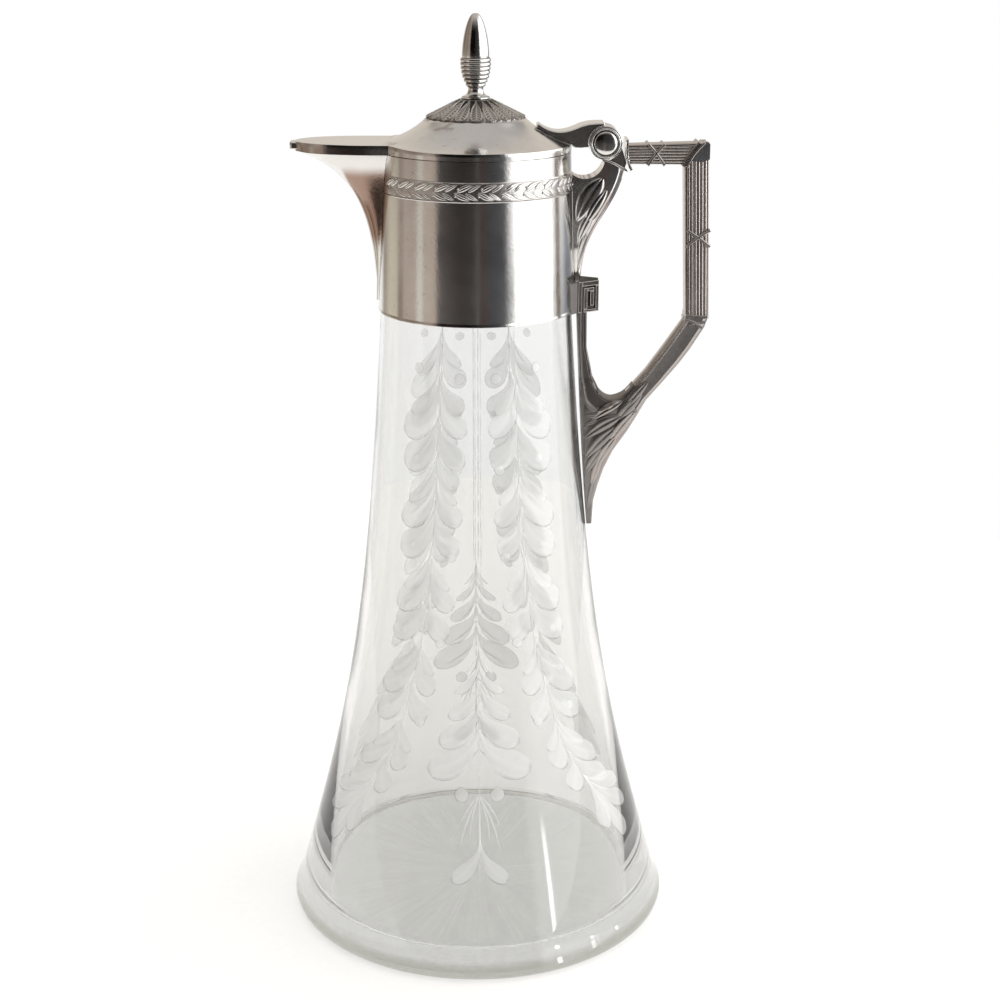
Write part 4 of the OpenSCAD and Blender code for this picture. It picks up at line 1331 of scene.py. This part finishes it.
def cap_half(x, z):
    """Half the cap's depth at a place of its side view."""
    return bar_d / 2 + 0.3 - 0.16 * max(0, x - 88.5)


# Slight painted shade over the cap.
corner_cap = slab("corner_cap", cap_outline, cap_half, 0.5, polished_plate, 0.1)
fix(corner_cap, "jug", "aged_plate", "corner_ribbon")
ribbon("elbow_band", (86.0, 264.7), (95.1, 263.9), 1.3, "elbow_ribbon", 0.0, 0.4)
ribbon("elbow_band_falling", (85.8, 263.2), (93.2, 259.4), 1.3, "elbow_ribbon", 0.4, 0.35)
ribbon("elbow_band_rising", (87.4, 260.8), (94.4, 261.6), 1.1, "elbow_ribbon", 0.3, 0.25)

# Diagonal brace
# The real brace is a plain cast bar with bevelled edges that runs from the elbow down to the mount.
# Handling has rubbed its outer edge to a warm tone.

brace_stations = [
    (elbow_in, elbow_out),
    ((84.9, 261.7), (94.3, 259.2)),
    ((80.8, 255.7), (88.5, 249.8)),
    ((76.5, 249.5), (84.2, 243.9)),
    ((70.4, 241.0), (77.4, 235.7)),
    ((64.6, 234.3), (71.1, 228.4)),
    ((61.6, 231.0), (68.1, 223.2)),
]
# Painted shade over the main face and, lighter, the outer bevel, none on the inner bevel; wear on the bevels,
# most on the outer edge.
brace_half = ((-1, -1.6, 0, 0), (-0.73, -4.7, 0, 0), (-0.64, -5.1, 0, 0.4), (-0.58, -5.0, 0.7, 0))
brace_half += ((0.0, -5.15, 0.62, 0), (0.48, -5.0, 0.7, 0), (0.54, -5.0, 0.1, 0.3))
brace_half += ((0.8, -4.0, 0.45, 0.2), (0.9, -3.0, 0.4, 0.6), (1, -2.2, 0.35, 0.9))
brace_section = list(brace_half) + [(a, -y, dark, rub) for a, y, dark, rub in brace_half[::-1]]
brace = bar("bevelled_brace", brace_stations, brace_section, aged_plate, 25)
fix(brace, "jug", "aged_plate", "handle_brace")

# Lower mount
# The real mount is one casting of overlapping laurel leaves and berries that spreads from a point.
# It forks into the stem and the brace, and a double moulding runs round the fork.

mount_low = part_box("lower_mount")[0].z / MM
stem_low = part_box("handle_stem")[0].z / MM
stem_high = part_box("handle_stem")[1].z / MM
fork_line = [(45.5, 268), (45.6, 251.3), (47.4, 242.8)]
fork_line += curve((47.4, 242.8), (49.3, 229.5), (57.5, 224.0), (65.2, 235.2), 16)[1:] + [(72, 243.2)]
back_rim = [(42.6, 268), (42.7, 252.3), (43.1, 243.8), (43.6, 237.6), (44.3, 233.1)]
back_rim += [(45.4, 228.7), (46.9, 226.6), (49.6, 224.9), (52.4, 225.2), (55.6, 226.6), (60, 230)]
standoffs = ((173, 0.35), (215, 1.2), (262, 2))
mount_outer_line = [(49.1, mount_low), (49.6, 183.6), (51.2, 190.3), (53.6, 197.8)]
mount_outer_line += [(57.3, 205.8), (63.3, 214.6), (68.2, 223.0)]
mount_outer_heights = [(z, x) for x, z in mount_outer_line] + [(250, 88)]
mount_back = ((mount_low, 1.4), (190, 4), (208, 6.4), (225, 6.6), (238, 5.1), (262, 5.1))
mount_front = ((mount_low, 1), (190, 2), (208, 3.6), (225, 4.7), (238, 5.0), (262, 5.0))


def mount_inner(z):
    """Distance from the axis of the stem and mount's inner side, a little off the glass."""
    return glass_r(z) + between(z, standoffs)


def to_line(x, z, line):
    """Signed distance of a place from a line in the side view, above 0 on its right."""
    best = (1e9, 1)
    for (x0, z0), (x1, z1) in zip(line, line[1:]):
        dx, dz = x1 - x0, z1 - z0
        t = min(1, max(0, ((x - x0) * dx + (z - z0) * dz) / (dx * dx + dz * dz)))
        gap = hypot(x - x0 - dx * t, z - z0 - dz * t)
        if gap < best[0]:
            best = (gap, 1 if (x - x0) * dz - (z - z0) * dx <= 0 else -1)
    return best[0] * best[1]


def moulding(x, z):
    """The double moulding round the fork: its height, painted shade and wear at a place."""
    past_rim = to_line(x, z, back_rim)
    to_fork = abs(to_line(x, z, fork_line))
    back = max(0, 1 - (past_rim / 0.75) ** 2)
    front = max(0, 1 - ((to_fork - 0.4) / 0.5) ** 2)
    channel = ease(0.3, 0.8, past_rim) * ease(0.5, 1.0, to_fork) * (1 - ease(5.5, 7.5, to_fork))
    behind = ease(0.4, 0.9, -past_rim) * ease(228, 236, z)
    height = 0.45 * back + 0.4 * front - 0.6 * channel
    return height, 0.85 * channel + 0.75 * behind, 0.3 * back + 0.3 * front


def fork_rounding(x, z):
    """Share of the depth that is left where the casting rounds off towards the fork."""
    to_fork = min(1, abs(to_line(x, z, fork_line)) / 1.6)
    return sqrt(1 - 0.7 * (1 - to_fork) ** 2)


def mount_half(x, z):
    """Half the mount's depth at a place in the side view."""
    inner = mount_inner(z)
    outer = between(z, mount_outer_heights)
    v = min(1, max(0, (x - inner) / max(outer - inner, 0.5)))
    deep = between(z, mount_back) + (between(z, mount_front) - between(z, mount_back)) * v
    outer_round = sqrt(max(0, 1 - max(0, (v - 0.72) / 0.3) ** 2.4))
    inner_round = sqrt(max(0.3, 1 - max(0, (0.07 - v) / 0.09) ** 2))
    return max(0.35, deep * outer_round * inner_round * fork_rounding(x, z)) + moulding(x, z)[0]


# Painted shade over the cheek, lighter at its outer edge and deepest in the moulding's channel and behind its
# back rim; wear on the rims and the outer edge.
def mount_shade(x, z, v):
    height, dark, rub = moulding(x, z)
    return max(dark, 0.66 - 0.3 * ease(0.8, 0.93, v)), max(rub, 0.9 * ease(0.84, 0.96, v))


mount_inner_chain = [(mount_inner(z), z) for z in range(174, 238, 8)] + [(mount_inner(stem_low), stem_low)]
mount_inner_chain += [p for p in fork_line if 45.6 < p[0] < 65.5 and p[1] < stem_low + 0.5]
mount_inner_chain[0] = (mount_inner(mount_low), mount_low)
mount_rows = 170
mount_lines = (chain(mount_inner_chain, mount_rows), chain(mount_outer_line, mount_rows))
mount = cheeks("leafy_mount", *mount_lines, mount_half, aged_plate, 56, mount_shade)
fix(mount, "jug", "aged_plate", "lower_mount")
rubbed_leaves = (
    ((52.6, 205.2), (48.4, 190.0), 1.9, 0.7, -0.4),
    ((58.6, 213.4), (50.4, 199.0), 2.6, 0.9, -0.8),
    ((66.0, 223.6), (55.4, 209.2), 3.0, 1.0, -1.0),
    ((60.6, 228.6), (47.6, 220.6), 2.3, 1.2, -0.5),
)
dark_leaves = (
    ((50.0, 196.0), (47.0, 180.0), 1.6, 0.5, 0.2),
    ((53.4, 208.6), (45.6, 196.6), 2.5, 0.8, -0.6),
    ((58.0, 217.0), (45.4, 203.4), 3.3, 1.0, -1.0),
    ((60.0, 222.0), (44.8, 212.4), 3.2, 1.2, -1.1),
    ((68.6, 231.6), (57.4, 217.6), 3.2, 0.8, -0.8),
    ((71.0, 236.6), (61.0, 223.6), 2.4, 0.9, -0.6),
    ((52.4, 223.0), (44.9, 222.8), 1.3, 0.7, 0.3),
    ((50.4, 220.4), (44.8, 218.8), 1.2, 0.6, 0.0),
)
mount_berries = (
    ((55.2, 219.6), 0.85),
    ((49.0, 204.6), 0.8),
    ((44.9, 213.4), 0.6),
    ((44.9, 217.4), 0.6),
    ((46.6, 201.0), 0.6),
)
rubbed = both_cheeks("rubbed_leaves", mount_half, rubbed_leaves, (), aged_plate, 0.85, 0.25)
fix(rubbed, "jug", "aged_plate", "lower_mount")
leaves = both_cheeks("dark_leaves", mount_half, dark_leaves, mount_berries, aged_plate, 0.1, 0.5)
fix(leaves, "jug", "aged_plate", "lower_mount")

# Stem
# The real stem is the mount's thin upper branch, which stands off the glass up to the key block.
# The fork's moulding runs on up its cheeks.

stem_count = 40
stem_step = (stem_high - stem_low) / (stem_count - 1)
stem_inner = [(mount_inner(stem_low + stem_step * i), stem_low + stem_step * i) for i in range(stem_count)]
stem_heights = [(z, x) for x, z in fork_line[:9][::-1]]
stem_outer = [(between(z, stem_heights), z) for x, z in stem_inner]


def stem_half(x, z):
    """Half the stem's depth at a place of its side view."""
    v = min(1, max(0, (x - mount_inner(z)) / 3))
    inner_round = sqrt(max(0.5, 1 - max(0, (0.2 - v) / 0.3) ** 2))
    return 5.0 * inner_round * fork_rounding(x, z) + moulding(x, z)[0]


stem = cheeks("fork_stem", stem_inner, stem_outer, stem_half, aged_plate, 26, mount_shade)
fix(stem, "jug", "aged_plate", "handle_stem")

# Key block
# The real block is a cast wedge on the collar's lower edge that holds the top of the stem.
# Both its flanks carry a square-cornered fret.

key_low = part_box("key_block")[0].z / MM
key_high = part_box("key_block")[1].z / MM
key_nose = (50.4, 2.6)
key_flank = (41.6, 7.6)
key_seat = (37.6, 12.0)
fret_deep = 0.8
fret_long = hypot(key_nose[0] - key_flank[0], key_nose[1] - key_flank[1])
fret_run = ((key_nose[0] - key_flank[0]) / fret_long, (key_nose[1] - key_flank[1]) / fret_long)
fret_out = (-fret_run[1], fret_run[0])
key_h = key_high - key_low


def on_flank(side, along, out):
    """A place on a flank of the block: a length from its corner and a height above its ground."""
    out = out - fret_deep
    x, y = (key_flank[i] + fret_run[i] * along + fret_out[i] * out for i in (0, 1))
    return (x, side * y)


def fret_bar(side, from_along, to_along, low, high, top=fret_deep, soft=0.16):
    """One raised bar of the fret, softened along its top."""
    points, recess, wear_stain_and_highlight = [], [], []
    # Painted shade on the bar's sides and top, leaving only its softened top edge light.
    for inset, out, dark in ((0, -0.2, 1), (0, top - soft, 1), (soft, top, 0), (soft + 0.16, top - 0.02, 1)):
        left, right = from_along + inset, to_along - inset
        bottom, top_edge = low + inset, high - inset
        for along, z in ((left, bottom), (right, bottom), (right, top_edge), (left, top_edge)):
            x, y = on_flank(side, along, out)
            points.append((x, y, key_low + z))
            recess.append(dark)
            wear_stain_and_highlight.append(0)
    faces = [(12, 13, 14, 15)]
    for i in range(3):
        for k in range(4):
            m = (k + 1) % 4
            faces.append((i * 4 + k, i * 4 + m, i * 4 + 4 + m, i * 4 + 4 + k))
    if side > 0:
        faces = [face[::-1] for face in faces]
    return points, faces, recess, wear_stain_and_highlight


core_plan = []
for side in (-1, 1):
    half_plan = [(key_seat[0] - 1, side * key_seat[1]), (key_seat[0], side * key_seat[1])]
    half_plan += [(key_flank[0] - 0.3, side * key_flank[1])]
    half_plan += [on_flank(side, 0, 0), on_flank(side, fret_long, 0)]
    core_plan += half_plan if side < 0 else half_plan[::-1]
key_points, key_faces = upright_prism(core_plan, key_low, key_high, 0.25)
# Painted shade over the whole block, darkest on the fret's ground.
key_dark = [1 if abs(y) < 7.4 and x < 50.2 else 0.7 for x, y, z in key_points]
key_parts = [(key_points, key_faces, key_dark, [0] * len(key_points))]
fret_bars = (
    (0, 2.0, 0, key_h),
    (2.0, fret_long, key_h - 2.0, key_h),
    (8.5, fret_long, 0, key_h - 2.0),
    (2.6, 8.5, 0, 1.2),
    (2.6, 4.5, 1.2, 10.1),
    (4.5, 7.8, 8.6, 10.1),
    (5.8, 7.8, 2.5, 8.6),
)
for side in (-1, 1):
    for from_along, to_along, low, high in fret_bars:
        key_parts.append(fret_bar(side, from_along, to_along, low, high))
points, faces, recess, wear_stain_and_highlight = merge(key_parts)
key_block = make_piece("fret_block", points, faces, aged_plate, 30, recess, wear_stain_and_highlight)
fix(key_block, "jug", "silver_plate", "key_block")

# Studio
# A plain pale table top in soft light, with the camera where the photograph was taken from.


def pale_floor():
    """A pale, matt table top with a faint grain."""
    material, tree, surface, place = shader("pale_floor")
    grain = noise(tree, place, 300)
    tone = ramp(tree, grain, ((0, (0.84, 0.84, 0.83)), (1, (0.88, 0.88, 0.87))))
    wire(tree, surface, Base_Color=tone, Roughness=0.9)
    return material


floor_r = 600
floor_rim = [(x, y, 0) for x, y in arc((0, 0), floor_r, 0, 360, 96)[:-1]]
floor = make_piece("table_top", floor_rim, [tuple(range(96))], pale_floor())

world = bpy.data.worlds.new("studio")
bpy.context.scene.world = world
world.use_nodes = True
sky = world.node_tree
direction = add(sky, "SeparateXYZ", Vector=add(sky, "TexCoord").outputs["Generated"]).outputs
turn = maths(sky, "ARCTAN2", direction["X"], maths(sky, "MULTIPLY", direction["Y"], -1))
turn = maths(sky, "ADD", maths(sky, "DIVIDE", turn, 2 * pi), 0.5)


def round_room(stops):
    """Colours round the room, through stops in degrees from the camera towards the handle."""
    return ramp(sky, turn, [((angle + 180) / 360, colour) for angle, colour in stops])


white, warm_white = (1.05, 1.05, 1.04), (0.72, 0.66, 0.59)
cream, light_tan, tan, brown = (0.88, 0.88, 0.80), (0.76, 0.70, 0.58), (0.56, 0.48, 0.42), (0.32, 0.27, 0.23)
charcoal, black, slate = (0.09, 0.08, 0.077), (0.004, 0.003, 0.003), (0.22, 0.24, 0.28)
window = (2.0, 2.0, 2.0)
low_room = round_room([
    (-180, white),
    (-150, white),
    (-140, brown),
    (-124, light_tan),
    (-108, light_tan),
    (-104, brown),
    (-98, brown),
    (-95, tan),
    (-76, (0.60, 0.51, 0.45)),
    (-73, cream),
    (-67, cream),
    (-65, tan),
    (-49, (0.62, 0.53, 0.47)),
    (-46, (0.14, 0.13, 0.125)),
    (-30, charcoal),
    (-19, (0.06, 0.052, 0.047)),
    (-1, (0.075, 0.07, 0.066)),
    (1.2, (0.24, 0.24, 0.23)),
    (3, (0.07, 0.066, 0.062)),
    (10, (0.105, 0.066, 0.055)),
    (15, (0.08, 0.082, 0.09)),
    (43, (0.105, 0.11, 0.12)),
    (48, window),
    (99, window),
    (103, (0.40, 0.38, 0.36)),
    (111, (0.62, 0.59, 0.55)),
    (118, (0.36, 0.35, 0.34)),
    (124, slate),
    (158, slate),
    (166, white),
    (180, white),
])
high_room = round_room([
    (-180, warm_white),
    (-150, warm_white),
    (-140, brown),
    (-112, (0.16, 0.13, 0.10)),
    (-100, (0.34, 0.28, 0.23)),
    (-80, (0.24, 0.19, 0.16)),
    (-58, (0.40, 0.33, 0.28)),
    (-50, (0.30, 0.24, 0.20)),
    (-46, black),
    (-6, black),
    (4, (0.03, 0.03, 0.03)),
    (34, (0.05, 0.05, 0.052)),
    (40, window),
    (124, window),
    (132, (0.34, 0.34, 0.36)),
    (146, (0.42, 0.40, 0.38)),
    (154, warm_white),
    (180, warm_white),
])


def sky_step(low, high):
    """0 below one height of the light's direction, 1 above another."""
    node = sky.nodes.new("ShaderNodeMapRange")
    node.interpolation_type = "SMOOTHSTEP"
    return wire(sky, node, Value=direction["Z"], From_Min=low, From_Max=high).outputs["Result"]


ceiling = (0.55, 0.53, 0.51)
walls = blend(sky, sky_step(-0.26, 0.08), low_room, high_room)
room = blend(sky, sky_step(0.4, 0.92), walls, ceiling)
no_light, full_light = (0.0, 0.0, 0.0), (1.0, 1.0, 1.0)
gaps = [(-180, no_light)]
for angle, half_w in ((47.5, 1.4), (71, 0.8), (75, 0.5), (90, 0.5)):
    gaps += [(angle - half_w, no_light), (angle - half_w + 0.2, full_light)]
    gaps += [(angle + half_w - 0.2, full_light), (angle + half_w, no_light)]
curtain_gap = round_room(gaps + [(180, no_light)])
low_end, high_end = sky_step(-0.05, -0.02), maths(sky, "SUBTRACT", 1, sky_step(0.07, 0.1))
streak = maths(sky, "MULTIPLY", curtain_gap, maths(sky, "MULTIPLY", low_end, high_end))
room = blend(sky, streak, room, (18.0, 18.0, 18.0))
wood, dusk = (0.70, 0.67, 0.64), (0.88, 0.87, 0.86)
through_glass = round_room([
    (-180, (1.1, 1.1, 1.1)),
    (-124, (1.05, 1.05, 1.04)),
    (-108, dusk),
    (-92, wood),
    (-50, wood),
    (0, dusk),
    (50, wood),
    (92, wood),
    (108, dusk),
    (124, (1.05, 1.05, 1.04)),
    (180, (1.1, 1.1, 1.1)),
])
seen = add(sky, "LightPath").outputs
room = blend(sky, seen["Is Transmission Ray"], room, through_glass)
room = blend(sky, seen["Is Camera Ray"], room, (1.0, 1.0, 1.0))
wire(sky, sky.nodes["Background"], Color=room)

lamp = bpy.data.lights.new("top_light", "AREA")
lamp.size = 1.8
lamp.energy = 36
top_light = bpy.data.objects.new("top_light", lamp)
top_light.location = (0.1, 0.2, 1.9)
aim = Vector((0, 0, 0.18)) - top_light.location
top_light.rotation_euler = aim.to_track_quat("-Z", "Y").to_euler()
top_light.visible_glossy = False
top_light.visible_transmission = False
bpy.context.scene.collection.objects.link(top_light)

camera_place = Vector((-8.137, -743.41, 423.042)) * MM
camera_down = radians(17.83)
camera_right = radians(1.387)
camera_roll = radians(0.057)
flat = cos(camera_down)
forward = Vector((sin(camera_right) * flat, cos(camera_right) * flat, -sin(camera_down)))
level = Vector((cos(camera_right), -sin(camera_right), 0))
upright = level.cross(forward)
right = level * cos(camera_roll) + upright * sin(camera_roll)
up = upright * cos(camera_roll) - level * sin(camera_roll)
lens = bpy.data.cameras.new("photograph_camera")
lens.sensor_width = 36
lens.lens = 65.882
lens.clip_start = 0.01
camera = bpy.data.objects.new("photograph_camera", lens)
camera.matrix_world = Matrix((right, up, -forward)).transposed().to_4x4()
camera.location = camera_place
bpy.context.scene.collection.objects.link(camera)
bpy.context.scene.camera = camera
bpy.context.scene.view_settings.view_transform = "Standard"
